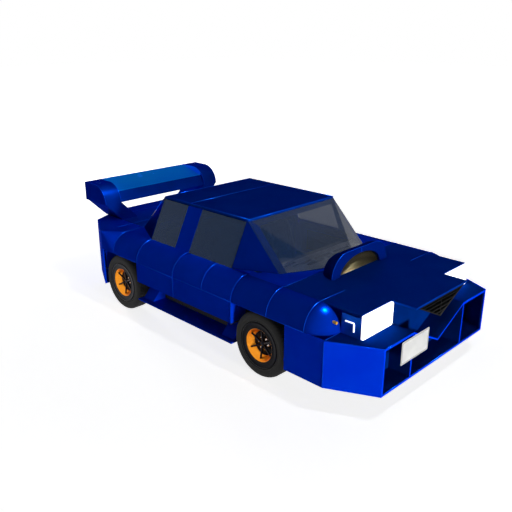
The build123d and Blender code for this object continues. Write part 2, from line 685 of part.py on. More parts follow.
# ---- tail ----
def make_rear_bumper():
    """Rear bumper shell round the tail, open underneath behind the axle."""
    height = ARCH_TOP - UNDERSIDE
    outer = extrude(Plane.XY.offset(UNDERSIDE) * tail_face(0), height)
    hollow = extrude(Plane.XY.offset(floor_top) * tail_face(SKIN), height)
    front_gap = block((-half + SKIN, half - SKIN), (rear_arch_y - 1, rear_arch_y + SKIN + 1),
                      (floor_top, ARCH_TOP + 1))
    opening = block((-rear_house_x, rear_house_x), (rear_arch_y - 1, tail_corner_y - 60),
                    (UNDERSIDE - 1, floor_top + 1))
    return outer - hollow - front_gap - opening


def make_tail_lamp():
    """Lamp set on the angled tail face beside the trunk lid."""
    x_in = LID_HALF + 16
    x_out = corner_half - 12
    slope = TAIL_STEP / (corner_half - TAIL_FLAT_HALF)

    def face_y(x):
        return tail_y - slope * (x - TAIL_FLAT_HALF)

    outline = [(x_in, face_y(x_in) + 0.3), (x_out, face_y(x_out) + 0.3),
               (x_out, face_y(x_out) + 9), (x_in, face_y(x_in) + 12)]
    return slab(outline, ARCH_TOP + 45, SHOULDER_TOP - 45)


def make_trunk_lid():
    """Lid with a flat top and a rear face turned down round the tail."""
    slope = TAIL_STEP / (corner_half - TAIL_FLAT_HALF)
    edge = LID_HALF - PANEL_GAP / 2
    side_y = tail_y - slope * (edge - TAIL_FLAT_HALF)
    front = rear_glass_y + PANEL_GAP
    outline = [(-edge, front), (edge, front), (edge, side_y), (TAIL_FLAT_HALF, tail_y),
               (-TAIL_FLAT_HALF, tail_y), (-edge, side_y)]
    inner = [(-edge - 1, front - 1), (edge + 1, front - 1), (edge + 1, side_y - SKIN * 1.2),
             (TAIL_FLAT_HALF, tail_y - SKIN), (-TAIL_FLAT_HALF, tail_y - SKIN),
             (-edge - 1, side_y - SKIN * 1.2)]
    low = ARCH_TOP + PANEL_GAP
    return slab(outline, low, SHOULDER_TOP) - slab(inner, low - 1, SHOULDER_TOP - HOOD_THICK)


def wing_pod():
    """Round-nosed end pod on a strut that leans outwards, left side."""
    y_nose = tail_y - WING_LENGTH
    low = SHOULDER_TOP + WING_TOP - WING_POD
    pod = block((ROOF_HALF, ROOF_HALF + WING_POD), (y_nose, tail_y), (low, low + WING_POD))
    spare = block((ROOF_HALF, ROOF_HALF + WING_POD), (y_nose, y_nose + WING_POD), (low, low + WING_POD))
    spare -= tube_x(WING_POD, ROOF_HALF - 1, ROOF_HALF + WING_POD + 1, y_nose + WING_POD, low)
    pod -= spare
    foot = ROOF_HALF - WING_POD
    strut_face = make_face(Polyline(
        (foot, SHOULDER_TOP), (ROOF_HALF - 6, SHOULDER_TOP), (ROOF_HALF + WING_POD, low),
        (ROOF_HALF, low), close=True))
    strut = run_prism(strut_face, y_nose, tail_y - 60)
    return pod + strut


def make_rear_wing():
    """Blade between two pods: blunt leading face, crease, thin trailing edge."""
    y_nose = tail_y - WING_LENGTH
    low = SHOULDER_TOP + WING_TOP - WING_POD
    top = SHOULDER_TOP + WING_TOP
    blade = side_prism([
        (y_nose, low), (y_nose + 70, low + 130), (tail_y, top), (tail_y, top - 22),
        (y_nose + 110, low + 70),
    ], -ROOF_HALF, ROOF_HALF)
    pod = wing_pod()
    return blade + pod + mirrored(pod)


# ---- cabin ----
def make_dashboard():
    """Dash behind the firewall, with a boss for the steering column on the right."""
    front = firewall_y + SKIN
    top = SHOULDER_TOP - SKIN
    wide = house_x - SKIN
    dash = side_prism([
        (front, top), (front + 150, top), (front + 190, top - 50), (front + 130, top - 230),
        (front, top - 200),
    ], -wide, wide)
    return dash + column_location(-30) * Cylinder(34, 60)


def column_location(reach):
    """A place along the steering column, measured from the dash towards the driver."""
    centre = (-SEAT_OFFSET, firewall_y + SKIN + 200, SHOULDER_TOP - 150)
    return Location(centre, (-COLUMN_RAKE, 0, 0)) * Location((0, 0, reach))


def make_steering_wheel():
    """Rim, three spokes, hub and column shaft."""
    reach = 190
    rim = column_location(reach) * Torus(WHEEL_RIM_RADIUS, WHEEL_RIM_THICK)
    hub = column_location(reach - 8) * Cylinder(42, 34)
    shaft = column_location((reach - 8) / 2) * Cylinder(16, reach - 8 - 2 * SEAT_GAP)
    wheel = rim + hub + shaft
    for angle in (0, 180, 270):
        spoke = Pos(WHEEL_RIM_RADIUS / 2 + 5, 0, 0) * Box(WHEEL_RIM_RADIUS, 26, 10)
        wheel += column_location(reach - 2) * (Rot(0, 0, angle) * spoke)
    return wheel


def seat_form(x, y_front, width, back_top):
    """A one-piece seat: cushion on its base, and a raked back."""
    cushion_top = floor_top + CUSHION_HEIGHT
    back_y = y_front + CUSHION_LENGTH
    outline = [
        (y_front, floor_top), (y_front, cushion_top - 35), (y_front + 40, cushion_top),
        (back_y, cushion_top - 30), (back_y + SEAT_BACK_RAKE, back_top),
        (back_y + SEAT_BACK_RAKE + SEAT_BACK_THICK, back_top),
        (back_y + 160, floor_top + 60), (back_y + SEAT_BACK_THICK, floor_top),
    ]
    return side_prism(outline, x - width / 2, x + width / 2)


def make_seats():
    """Two front seats and a rear bench over the tunnel."""
    front_y = door_front_y + 230
    bench_y = bulkhead_y - CUSHION_LENGTH - SEAT_BACK_RAKE - SEAT_BACK_THICK - 2
    bench_width = 2 * (LID_HALF - BENCH_GAP)
    pieces = [seat_form(side * SEAT_OFFSET, front_y, SEAT_WIDTH, SHOULDER_TOP + 190) for side in (-1, 1)]
    bench = seat_form(0, bench_y, bench_width, SHOULDER_TOP + 60)
    bench -= block((-TUNNEL_HALF - 1, TUNNEL_HALF + 1), (bench_y - 1, bulkhead_y),
                   (floor_top - 1, floor_top + TUNNEL_HEIGHT + 1))
    return Compound(pieces[0].solids() + pieces[1].solids() + bench.solids())


# ---- drive and suspension ----
def make_engine_block():
    """Engine and gearbox as one closed mass on its crossmember."""
    return block((-300, 300), (front_axle_y - 330, front_axle_y + 160), (floor_top + 85, SHOULDER_TOP - 110))


def arm_bar(points):
    """An (x, z) outline of a suspension arm, as deep as the arms are, at the front axle."""
    face = make_face(Polyline(*points, close=True))
    return run_prism(face, front_axle_y - ARM_THICK, front_axle_y + ARM_THICK)


def make_suspension():
    """Front crossmember with arms to the knuckles, and the rear axle on its trailing arms."""
    low = TYRE_RADIUS - KNUCKLE_HEIGHT / 2 - SEAT_GAP
    high = TYRE_RADIUS + KNUCKLE_HEIGHT / 2 + SEAT_GAP
    beam_top = floor_top + 85
    beam_end = house_x - SKIN - 4
    beam = block((-beam_end, beam_end), (front_axle_y - 70, front_axle_y + 70), (floor_top, beam_top))
    tip = wheel_x + ARM_TIP
    bend = wheel_x - 150
    lower = arm_bar([
        (beam_end - 60, floor_top), (beam_end - 60, beam_top), (house_x + 10, beam_top),
        (bend, low), (tip, low), (tip, low - ARM_THICK), (bend, low - ARM_THICK), (house_x + 10, floor_top),
    ])
    tower = block((beam_end - 80, beam_end - 6), (front_axle_y - 60, front_axle_y + 60),
                  (beam_top, high + ARM_THICK))
    upper = arm_bar([(beam_end - 40, high), (beam_end - 40, high + ARM_THICK),
                     (tip, high + ARM_THICK), (tip, high)])
    arms = lower + tower + upper
    front = beam + arms + mirrored(arms)
    tube_end = wheel_x + AXLE_FACE
    rear = tube_x(AXLE_TUBE, -tube_end, tube_end, rear_axle_y, TYRE_RADIUS)
    plate = tube_x(70, tube_end - 20, tube_end, rear_axle_y, TYRE_RADIUS)
    trail = block((560, 630), (bulkhead_y + SKIN + SEAT_GAP, rear_axle_y + 50),
                  (TYRE_RADIUS - 45, TYRE_RADIUS + 45))
    rear += plate + mirrored(plate) + trail + mirrored(trail)
    return Compound(list(front.solids()) + list(rear.solids()))


def make_knuckle():
    """Upright between the arms, with the stub that the hub turns on."""
    axle_z = TYRE_RADIUS
    size = KNUCKLE_SIZE / 2
    low = axle_z - KNUCKLE_HEIGHT / 2
    high = axle_z + KNUCKLE_HEIGHT / 2
    upright = block((wheel_x + KNUCKLE_INNER, wheel_x + KNUCKLE_OUTER),
                    (front_axle_y - size, front_axle_y + size), (low, high))
    stub = tube_x(STUB_RADIUS, wheel_x + KNUCKLE_OUTER - 1, wheel_x + STUB_FACE, front_axle_y, axle_z)
    return upright + stub


def make_rim(hub_inner):
    """Rim turned about X: tyre seat, flat outer lip, deep cone, hub, and spokes that rise to the cone."""
    side = TYRE_WIDTH / 2 - 3
    floor_x = side - DISH_DEPTH
    profile = make_face(Polyline(
        (RIM_RADIUS, -side), (RIM_RADIUS, side), (LIP_INNER, side), (DISH_FLOOR, floor_x),
        (0, floor_x), (0, floor_x - RIM_WALL), (DISH_FLOOR + RIM_WALL, floor_x - RIM_WALL),
        (LIP_INNER + RIM_WALL, side - RIM_WALL), (RIM_RADIUS - RIM_WALL, side - RIM_WALL),
        (RIM_RADIUS - RIM_WALL, -side), close=True))
    rim = revolve(Plane.XZ * profile, Axis.Z)
    hub_outer = floor_x - RIM_WALL + 1
    rim += Pos(0, 0, (hub_outer + hub_inner) / 2) * Cylinder(HUB_RADIUS, hub_outer - hub_inner)
    cap_top = side - HUB_DEPTH
    rim += Pos(0, 0, (floor_x + cap_top) / 2) * Cylinder(HUB_CAP, cap_top - floor_x)
    reach = LIP_INNER - (LIP_INNER - DISH_FLOOR) * SPOKE_DEPTH / DISH_DEPTH
    tip_x = side - SPOKE_DEPTH
    spoke_side = make_face(Polyline(
        (HUB_CAP - 4, cap_top), (reach + 4, tip_x), (reach + 4, tip_x - RIM_WALL),
        (HUB_CAP - 4, cap_top - RIM_WALL), close=True))
    spoke = extrude(Plane.XZ.offset(-SPOKE_WIDTH / 2) * spoke_side, SPOKE_WIDTH)
    for index in range(SPOKES):
        rim += Rot(0, 0, 360 / SPOKES * index) * spoke
    for index in range(BOLTS):
        angle = radians(360 / BOLTS * (index + 0.5))
        radius = BOLT_CIRCLE / 2
        rim -= Pos(radius * cos(angle), radius * sin(angle), 0) * Cylinder(BOLT_HOLE_RADIUS, 400)
    return Rot(0, 90, 0) * rim


def make_tyre():
    """Tyre centred on its own axis X, with rounded shoulders."""
    side = TYRE_WIDTH / 2
    r_in = RIM_RADIUS
    r_out = TYRE_RADIUS
    soft = TYRE_SHOULDER
    profile = make_face([
        Line((r_in, -side), (r_in, side)),
        Line((r_in, side), (r_out - soft, side)),
        CenterArc((r_out - soft, side - soft), soft, 0, 90),
        Line((r_out, side - soft), (r_out, -side + soft)),
        CenterArc((r_out - soft, -side + soft), soft, -90, 90),
        Line((r_out - soft, -side), (r_in, -side)),
    ])
    ring = revolve(Plane.XZ * profile, Axis.Z)
    return Rot(0, 90, 0) * ring


def make_exhaust():
    """Pipe under the floor, a silencer hung from the trunk floor and two tail pipes."""
    pipe_z = UNDERSIDE - SEAT_GAP - 26
    pipe_x = 260
    start = front_axle_y + 500
    box_y = rear_axle_y + 420
    box_end = box_y + 260
    pipe = Cylinder(26, box_y - start, rotation=(90, 0, 0))
    form = Pos(pipe_x, (start + box_y) / 2, pipe_z) * pipe
    form += block((pipe_x - 110, pipe_x + 110), (box_y, box_end), (pipe_z - 35, pipe_z + 85))
    for y in (box_y + 40, box_end - 60):
        form += block((pipe_x - 15, pipe_x + 15), (y, y + 20), (pipe_z + 85, TRUNK_FLOOR - SEAT_GAP))
    for offset_x in (-50, 50):
        tail = Cylinder(25, tail_y - box_end, rotation=(90, 0, 0))
        form += Pos(pipe_x + offset_x, (box_end + tail_y) / 2, pipe_z - 4) * tail
    return form


# ---- assembly ----
def wheel_place(side, axle_y):
    """Where a wheel stands; right-hand wheels face the other way."""
    place = Pos(side * wheel_x, axle_y, TYRE_RADIUS)
    return place if side > 0 else place * Rot(0, 0, 180)


def build_nodes():
    """Every piece of the car by name."""
    front_hub = STUB_FACE + SEAT_GAP
    rear_hub = AXLE_FACE + SEAT_GAP
    front_rim = make_rim(front_hub)
    rear_rim = make_rim(rear_hub)
    tyre = make_tyre()
    nodes = {
        "floor_pan": make_floor_pan(),
        "wheelhouses": make_wheelhouses(),
        "bulkheads": make_bulkheads(),
        "cabin_frame": make_cabin_frame(),
        "roof_panel": make_roof_panel(),
        "fixed_glass": make_fixed_glass(),
        "front_fenders": both(make_front_fender()),
        "rear_quarters": both(make_rear_quarter()),
        "front_bumper": make_front_bumper(),
        "grille": make_grille(),
        "headlights": both(make_headlight()),
        "headlight_lenses": both(make_headlight_lens()),
        "indicators": both(make_indicator()),
        "number_plate": make_number_plate(),
        "rear_bumper": make_rear_bumper(),
        "tail_lamps": both(make_tail_lamp()),
        "side_skirts": both(make_side_skirt()),
        "dashboard": make_dashboard(),
        "seats": make_seats(),
        "engine_block": make_engine_block(),
        "suspension": make_suspension(),
        "exhaust": make_exhaust(),
        "hood": make_hood(),
        "hood_scoop": make_hood_scoop(),
        "trunk_lid": make_trunk_lid(),
        "rear_wing": make_rear_wing(),
        "steering_wheel": make_steering_wheel(),
    }
    left_pieces = {
        "front_door": make_front_door(),
        "front_glass": make_front_glass(),
        "rear_door": make_rear_door(),
        "rear_glass": make_rear_glass(),
        "knuckle": make_knuckle(),
    }
    for name, piece in left_pieces.items():
        nodes[name + "_left"] = piece
        nodes[name + "_right"] = mirrored(piece)
    for end, axle_y, rim in (("front", front_axle_y, front_rim), ("rear", rear_axle_y, rear_rim)):
        for side_name, side in (("left", 1), ("right", -1)):
            place = wheel_place(side, axle_y)
            nodes[f"{end}_rim_{side_name}"] = place * rim
            nodes[f"{end}_tyre_{side_name}"] = place * tyre
    return nodes


def main():
    os.makedirs("parts", exist_ok=True)
    for name, piece in build_nodes().items():
        export_step(piece, f"parts/{name}.step")


main()
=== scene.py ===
import math

import bpy
import numpy as np
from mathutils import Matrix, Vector


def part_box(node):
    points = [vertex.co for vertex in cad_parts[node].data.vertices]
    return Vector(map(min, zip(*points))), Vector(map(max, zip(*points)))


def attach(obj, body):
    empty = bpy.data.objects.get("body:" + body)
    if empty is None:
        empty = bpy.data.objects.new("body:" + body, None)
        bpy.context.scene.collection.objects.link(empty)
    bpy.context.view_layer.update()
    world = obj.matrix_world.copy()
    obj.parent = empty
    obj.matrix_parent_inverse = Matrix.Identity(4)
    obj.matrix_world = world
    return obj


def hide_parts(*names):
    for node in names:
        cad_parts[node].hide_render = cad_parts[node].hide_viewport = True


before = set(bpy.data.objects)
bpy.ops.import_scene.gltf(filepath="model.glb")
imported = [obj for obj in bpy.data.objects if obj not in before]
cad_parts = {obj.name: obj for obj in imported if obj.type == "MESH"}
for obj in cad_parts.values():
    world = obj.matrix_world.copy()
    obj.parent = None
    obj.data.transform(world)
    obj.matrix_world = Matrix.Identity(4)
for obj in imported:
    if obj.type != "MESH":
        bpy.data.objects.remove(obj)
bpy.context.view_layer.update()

# ---- Sizes in metres, in the frame of the CAD model: nose towards -Y, +Z up ----
FENDER_LOW, FENDER_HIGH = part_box("front_fenders")
BUMPER_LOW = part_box("front_bumper")[0]
ROOF_LOW, ROOF_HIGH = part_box("roof_panel")
HALF = FENDER_HIGH.x                        # half the body's width
SHOULDER_TOP, ARCH_TOP = FENDER_HIGH.z, FENDER_LOW.z
SHOULDER_RADIUS = SHOULDER_TOP - ARCH_TOP
LINE_HALF = HALF - SHOULDER_RADIUS          # where the flat deck meets the round shoulder
NOSE_Y, UNDERSIDE = BUMPER_LOW.y, BUMPER_LOW.z
TAIL_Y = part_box("rear_bumper")[1].y
GRID = 0.225                                # panels are laid out in steps of this
GAP = 0.008                                 # between two panels
EDGE = 0.006                                # a bead's middle from its panel's edge
CORNER_Y = NOSE_Y + 2 * GRID                # behind the bumper's chamfered corner
ROOF_X = 3 * GRID
WING_FRONT = TAIL_Y - 2 * GRID
SIDES = (("left", 1), ("right", -1))
OUT, UP, FORWARD = (1, 0, 0), (0, 0, 1), (0, -1, 0)


# ---- Mesh makers: a surface is a function on a grid, or a profile carried along a path ----
def mesh_piece(name, verts, faces, smooth=True):
    """A mesh object whose place is in its vertices."""
    mesh = bpy.data.meshes.new(name)
    mesh.from_pydata(np.asarray(verts, float).tolist(), [], [list(map(int, f)) for f in faces])
    mesh.update()
    mesh.polygons.foreach_set("use_smooth", np.full(len(mesh.polygons), smooth))
    made = bpy.data.objects.new(name, mesh)
    bpy.context.scene.collection.objects.link(made)
    return made


def select_only(made):
    """Makes an object the active and only selected one."""
    bpy.context.view_layer.objects.active = made
    bpy.ops.object.select_all(action="DESELECT")
    made.select_set(True)


def outward(made):
    """Merges doubles and turns every face outwards."""
    select_only(made)
    bpy.ops.object.mode_set(mode="EDIT")
    bpy.ops.mesh.select_all(action="SELECT")
    bpy.ops.mesh.remove_doubles(threshold=1e-6)
    bpy.ops.mesh.normals_make_consistent(inside=False)
    bpy.ops.object.mode_set(mode="OBJECT")
    return made


def piece(name, part, material, body="body", side=1, smooth=True, bevel=0.0, segments=2):
    """A finished piece from one part, mirrored on the right side: its faces outwards, its edges rounded where
    a bevel is given, riding on a CAD body, with the finish it is given."""
    verts, faces = part
    made = outward(mesh_piece(name, np.asarray(verts) * [side, 1, 1], faces, smooth))
    made.data.materials.append(material)
    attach(made, body)
    if bevel:
        rounding = made.modifiers.new("Bevel", "BEVEL")
        rounding.width = bevel
        rounding.segments = segments
        rounding.limit_method = "ANGLE"
    return made


def grid_faces(rows, cols, wrap_rows=False, wrap_cols=False):
    """Quads of a grid of points numbered row by row, each side joined up where it wraps."""
    r, c = np.meshgrid(np.arange(rows - (not wrap_rows)), np.arange(cols - (not wrap_cols)), indexing="ij")
    below, right = (r + 1) % rows, (c + 1) % cols
    return np.stack([r * cols + c, below * cols + c, below * cols + right, r * cols + right], -1).reshape(-1, 4)


def capped_faces(rings, count):
    """Quads of a tube of rings of points, with a flat face at each end."""
    return [*grid_faces(rings, count, wrap_cols=True).tolist(), list(range(count)),
            list(range((rings - 1) * count, rings * count))[::-1]]


def slab_faces(rows, cols):
    """Faces of a grid of points, of the second grid that follows it, and of the walls between their edges."""
    faces, count = grid_faces(rows, cols), rows * cols
    edge = np.concatenate([np.arange(cols), np.arange(1, rows) * cols + cols - 1,
                           (rows - 1) * cols + np.arange(cols - 2, -1, -1), np.arange(rows - 2, 0, -1) * cols])
    following = np.roll(edge, -1)
    walls = np.stack([edge, following, following + count, edge + count], -1)
    return np.concatenate([faces, faces[:, ::-1] + count, walls])


def thick_outline(outline, shift):
    """A flat outline and its shifted copy, with walls between them."""
    n = len(outline)
    faces = [list(range(n)), list(range(n, 2 * n))[::-1]]
    faces += [[i, i + n, (i + 1) % n + n, (i + 1) % n] for i in range(n)]
    return np.concatenate([outline, np.add(outline, shift)]), faces


def joined(parts):
    """Several (vertices, faces) pairs as one pair."""
    verts, faces, count = [], [], 0
    for v, f in parts:
        verts.append(np.asarray(v, float))
        faces += [[int(i) + count for i in face] for face in f]
        count += len(v)
    return np.concatenate(verts), faces


def box_part(low, high):
    """Eight corners and six faces of a block, for parts that a bevel rounds off."""
    (x0, y0, z0), (x1, y1, z1) = low, high
    verts = [(x, y, z) for z in (z0, z1) for x, y in ((x0, y0), (x1, y0), (x1, y1), (x0, y1))]
    return verts, [[3, 2, 1, 0], [4, 5, 6, 7], [0, 1, 5, 4], [1, 2, 6, 5], [2, 3, 7, 6], [3, 0, 4, 7]]


def unit_rows(rows):
    """Each row of an array at length one."""
    return rows / np.linalg.norm(rows, axis=1)[:, None]


def path_tangent(path, closed):
    """Unit directions along a path, which may close on itself."""
    return unit_rows(np.roll(path, -1, 0) - np.roll(path, 1, 0) if closed else np.gradient(path, axis=0))


def tube(path, radius, sides=8, closed=False):
    """A round section carried along a path: P + r (S cos a + U sin a), with S = T x up and U = S x T."""
    path = np.asarray(path, float)
    tangent = path_tangent(path, closed)
    steep = np.abs(tangent[:, 2:]) > 0.95
    side = unit_rows(np.cross(tangent, np.where(steep, [0.0, 1.0, 0.0], [0.0, 0.0, 1.0])))
    up = np.cross(side, tangent)
    angle = np.linspace(0, 2 * np.pi, sides, endpoint=False)[None, :, None]
    verts = path[:, None] + radius * (np.cos(angle) * side[:, None] + np.sin(angle) * up[:, None])
    faces = grid_faces(len(path), sides, True, True) if closed else capped_faces(len(path), sides)
    return verts.reshape(-1, 3), faces


def turned(profile, centre=(0, 0, 0), sides=96):
    """A closed (radius, depth) profile turned about an axis along X: (depth, r cos a, r sin a)."""
    radius, depth = np.asarray(profile, float).T[:, :, None]
    angle = np.linspace(0, 2 * np.pi, sides, endpoint=False)
    verts = np.stack([np.repeat(depth, sides, 1), radius * np.cos(angle), radius * np.sin(angle)], -1)
    return verts.reshape(-1, 3) + np.asarray(centre, float), grid_faces(len(profile), sides, True, True)


def turned_solid(profile, centre=(0, 0, 0), sides=64):
    """The same for a profile that starts and ends on the axis: its poles are closed with triangles."""
    verts = turned(profile[1:-1], (0, 0, 0), sides)[0]
    first, last, base = len(verts), len(verts) + 1, len(verts) - sides
    faces = grid_faces(len(profile) - 2, sides, wrap_cols=True).tolist()
    faces += [[i, (i + 1) % sides, first] for i in range(sides)]
    faces += [[base + (i + 1) % sides, base + i, last] for i in range(sides)]
    poles = [[profile[0][1], 0, 0], [profile[-1][1], 0, 0]]
    return np.concatenate([verts, poles]) + np.asarray(centre, float), faces


def dome_y(centre, radius, height, sides=20, rings=5):
    """A shallow dome facing -Y: depth = h cos f, radius = r sin f, with a closed back."""
    f = np.linspace(np.pi / 2, 0.18, rings)
    profile = [(0, -0.001), *zip(radius * np.sin(f), height * np.cos(f)), (0, height)]
    verts, faces = turned_solid(profile, sides=sides)
    return verts[:, [1, 0, 2]] * [1, -1, 1] + centre, faces


def squared_circle(angle, power):
    """A superellipse of half size one: sign(cos) |cos|^p, sign(sin) |sin|^p."""
    c, s = np.cos(angle), np.sin(angle)
    return np.sign(c) * np.abs(c) ** power, np.sign(s) * np.abs(s) ** power


# ---- Materials ----
WAVE = 0.314    # metres between the bands of a wave texture at scale 1


def linear(hex_colour):
    """sRGB hex to the linear colour that shaders take."""
    srgb = [int(hex_colour[i:i + 2], 16) / 255 for i in (1, 3, 5)]
    return (*[c / 12.92 if c <= 0.04045 else ((c + 0.055) / 1.055) ** 2.4 for c in srgb], 1.0)


def per_metre(size):
    """How many times a pattern of a given size in millimetres fits in a metre."""
    return 1000 / size


def wire(node, **inputs):
    """Sets or links a node's inputs, named with _ for a space, or i and the input's number."""
    for key, value in inputs.items():
        socket = node.inputs[int(key[1:]) if key[1:].isdigit() else key.replace("_", " ")]
        if isinstance(value, bpy.types.NodeSocket):
            node.id_data.links.new(value, socket)
        else:
            socket.default_value = value


def add(owner, kind, output=0, settings=None, **inputs):
    """Adds a shader node with its settings, a colour ramp's stops among them, and gives one of its outputs."""
    node = owner.node_tree.nodes.new("ShaderNode" + kind)
    for key, value in (settings or {}).items():
        if key == "stops":
            for element, (element.position, colour) in zip(node.color_ramp.elements, value):
                element.color = linear(colour)
        else:
            setattr(node, key, value)
    wire(node, **inputs)
    return node.outputs[output]


def new_material(name, **constants):
    """A material with one Principled shader, its constants set on the sockets, and its Object coordinates."""
    material = bpy.data.materials.new(name)
    material.use_nodes = True
    shader = material.node_tree.nodes["Principled BSDF"]
    wire(shader, **constants)
    return material, shader, add(material, "TexCoord", "Object")


def dress(material, shader, height, strength, depth, tone, stops, colours, patches=None, low=0.0, high=1.0):
    """A whole finish: a bump of a strength and a depth in metres from a height, the colour between two stops of
    a tone, and the roughness between two values over its patches. Gives the colour."""
    colour = add(material, "ValToRGB", "Color", {"stops": list(zip(stops, colours))}, Fac=tone)
    bump = add(material, "Bump", "Normal", Height=height, Strength=strength, Distance=depth)
    wire(shader, Base_Color=colour, Normal=bump)
    if patches is not None:
        wire(shader, Roughness=add(material, "MapRange", "Result", Value=patches, To_Min=low, To_Max=high))
    return colour


def enamel(name, flake_share):
    """The coat that every paint shares: flake that mirrors a little of the room in its own blue. Gives its cloud
    of shade, 333 mm across, and its slight orange peel, drawn 7 mm across where the real one is 3."""
    material, shader, where = new_material(name, Metallic=flake_share, Specular_Tint=linear("#1A6CFF"),
                                           Specular_IOR_Level=0.0)
    cloud = add(material, "TexNoise", "Fac", Vector=where, Scale=per_metre(333.3), Detail=3.0)
    peel = add(material, "TexNoise", "Fac", Vector=where, Scale=per_metre(7.14), Detail=2.0)
    return material, shader, where, cloud, peel


def paint_material(name, deep, bright, flake_share=0.05):
    """One enamel, its shade drifting with the cloud and its flake, drawn 1.1 mm across so that it shows."""
    material, shader, where, cloud, peel = enamel(name, flake_share)
    flake = add(material, "TexNoise", "Fac", Vector=where, Scale=per_metre(1.111), Detail=1.0)
    half = add(material, "Math", 0, {"operation": "MULTIPLY"}, i0=cloud, i1=0.5)
    mixed = add(material, "Math", 0, {"operation": "MULTIPLY_ADD"}, i0=flake, i1=0.5, i2=half)
    dress(material, shader, peel, 0.04, 0.002, mixed, (0.35, 0.65), (deep, bright), cloud, 0.2, 0.28)
    return material


def lit_and_shaded_paint(name, flake_share, gloss, plain, masked, tests):
    """Two shades of one enamel, for painted light and shade, told apart by where a point lies: the masked one where
    each sum a |x| + b y + c z is past its limit."""
    material, shader, where, cloud, peel = enamel(name, flake_share)
    plain_shade = dress(material, shader, peel, 0.04, 0.002, cloud, (0.35, 0.65), plain, cloud, *gloss)
    masked_shade = add(material, "ValToRGB", "Color", {"stops": list(zip((0.35, 0.65), masked))}, Fac=cloud)
    x, y, z = (add(material, "SeparateXYZ", axis, Vector=where) for axis in "XYZ")
    folded = add(material, "CombineXYZ", X=add(material, "Math", 0, {"operation": "ABSOLUTE"}, i0=x), Y=y, Z=z)
    mask = 1.0
    for weights, limit in tests:
        total = add(material, "VectorMath", "Value", {"operation": "DOT_PRODUCT"}, i0=folded, i1=weights)
        past = add(material, "Math", 0, {"operation": "GREATER_THAN"}, i0=total, i1=limit)
        mask = add(material, "Math", 0, {"operation": "MULTIPLY"}, i0=past, i1=mask)
    wire(shader, Base_Color=add(material, "Mix", 2, {"data_type": "RGBA"}, i0=mask, i6=plain_shade,
                                i7=masked_shade))
    return material


def moulded_material(name, dark, pale, roughness=0.55, grain=1.43, **constants):
    """Moulded plastic or pressed sheet: a fine grain, its size in millimetres, and a little colour drift."""
    material, shader, where = new_material(name, **constants)
    cloud = add(material, "TexNoise", "Fac", Vector=where, Scale=per_metre(166.7), Detail=3.0)
    fine = add(material, "TexNoise", "Fac", Vector=where, Scale=per_metre(grain), Detail=2.0)
    dress(material, shader, fine, 0.25, 0.0006, cloud, (0.3, 0.7), (dark, pale), fine, roughness - 0.08,
          roughness + 0.1)
    return material


def metal_material(name, dark, pale, roughness):
    """Cast, plated or turned metal: streaks 25 mm long and about 1 mm wide, and a patchy roughness."""
    material, shader, where = new_material(name, Metallic=1.0)
    drawn_out = add(material, "Mapping", Vector=where, Scale=(per_metre(25), per_metre(1.111), per_metre(1.111)))
    streak = add(material, "TexNoise", "Fac", Vector=drawn_out, Scale=1.0, Detail=3.0)
    dress(material, shader, streak, 0.08, 0.0004, streak, (0.3, 0.7), (dark, pale), streak, roughness * 0.8,
          roughness * 1.25)
    return material


def rubber_material(name, dark, pale):
    """Vulcanised rubber: near black, dusty in patches 70 mm across, with a faint grain of 0.8 mm."""
    material, shader, where = new_material(name, Specular_IOR_Level=0.3)
    dust = add(material, "TexNoise", "Fac", Vector=where, Scale=per_metre(71.4), Detail=5.0, Roughness=0.6)
    fine = add(material, "TexNoise", "Fac", Vector=where, Scale=per_metre(0.833), Detail=2.0)
    dress(material, shader, fine, 0.3, 0.0005, dust, (0.35, 0.75), (dark, pale), dust, 0.62, 0.85)
    return material


def glass_material(name, opacity, rear_tint=0.0):
    """Sheet glass with a blue body tint: it lets light straight through, with a faint haze 200 mm across. Rear
    tint is how much less a pane behind the car's middle lets through."""
    material, shader, where = new_material(name, Roughness=0.02, IOR=1.5, Specular_Tint=linear("#7CB2FF"),
                                           Specular_IOR_Level=0.7)
    haze = add(material, "TexNoise", "Fac", Vector=where, Scale=per_metre(200), Detail=4.0)
    alpha = add(material, "MapRange", "Result", Value=haze, To_Min=opacity - 0.02, To_Max=opacity + 0.02)
    y = add(material, "SeparateXYZ", "Y", Vector=where)
    behind = add(material, "Math", 0, {"operation": "GREATER_THAN"}, i0=y, i1=0.0)
    wire(shader,
         Base_Color=add(material, "ValToRGB", "Color", {"stops": ((0.3, "#122040"), (0.7, "#182A4C"))}, Fac=haze),
         Alpha=add(material, "Math", 0, {"operation": "MULTIPLY_ADD"}, i0=behind, i1=rear_tint, i2=alpha))
    return material


def lamp_material(name, colour, edge, strength):
    """A lit acrylic lens with flutes 17.4 mm apart on its inner face."""
    material, shader, where = new_material(name, Roughness=0.15, IOR=1.49, Emission_Strength=strength)
    flutes = add(material, "TexWave", "Fac", {"bands_direction": "X"}, Vector=where, Scale=WAVE / 0.01744)
    wire(shader, Emission_Color=dress(material, shader, flutes, 0.3, 0.002, flutes, (0.0, 0.6), (edge, colour)))
    return material


def fabric_material(name, dark, pale, pitch=0.0035):
    """Woven seat cloth: warp and weft 3.5 mm apart, coarser than the real 1 mm so that they show, and a sheen."""
    material, shader, where = new_material(name, Roughness=0.9, Sheen_Weight=0.25)
    warp, weft, pile = (add(material, "TexWave", "Fac", {"bands_direction": axis}, Vector=where,
                            Scale=WAVE / pitch, Distortion=0.6) for axis in "XYZ")
    crossed = add(material, "Math", 0, {"operation": "MAXIMUM"}, i0=warp, i1=weft)
    weave = add(material, "Math", 0, {"operation": "MULTIPLY"}, i0=crossed, i1=pile)
    dress(material, shader, weave, 0.5, 0.001, weave, (0.1, 0.9), (dark, pale))
    return material
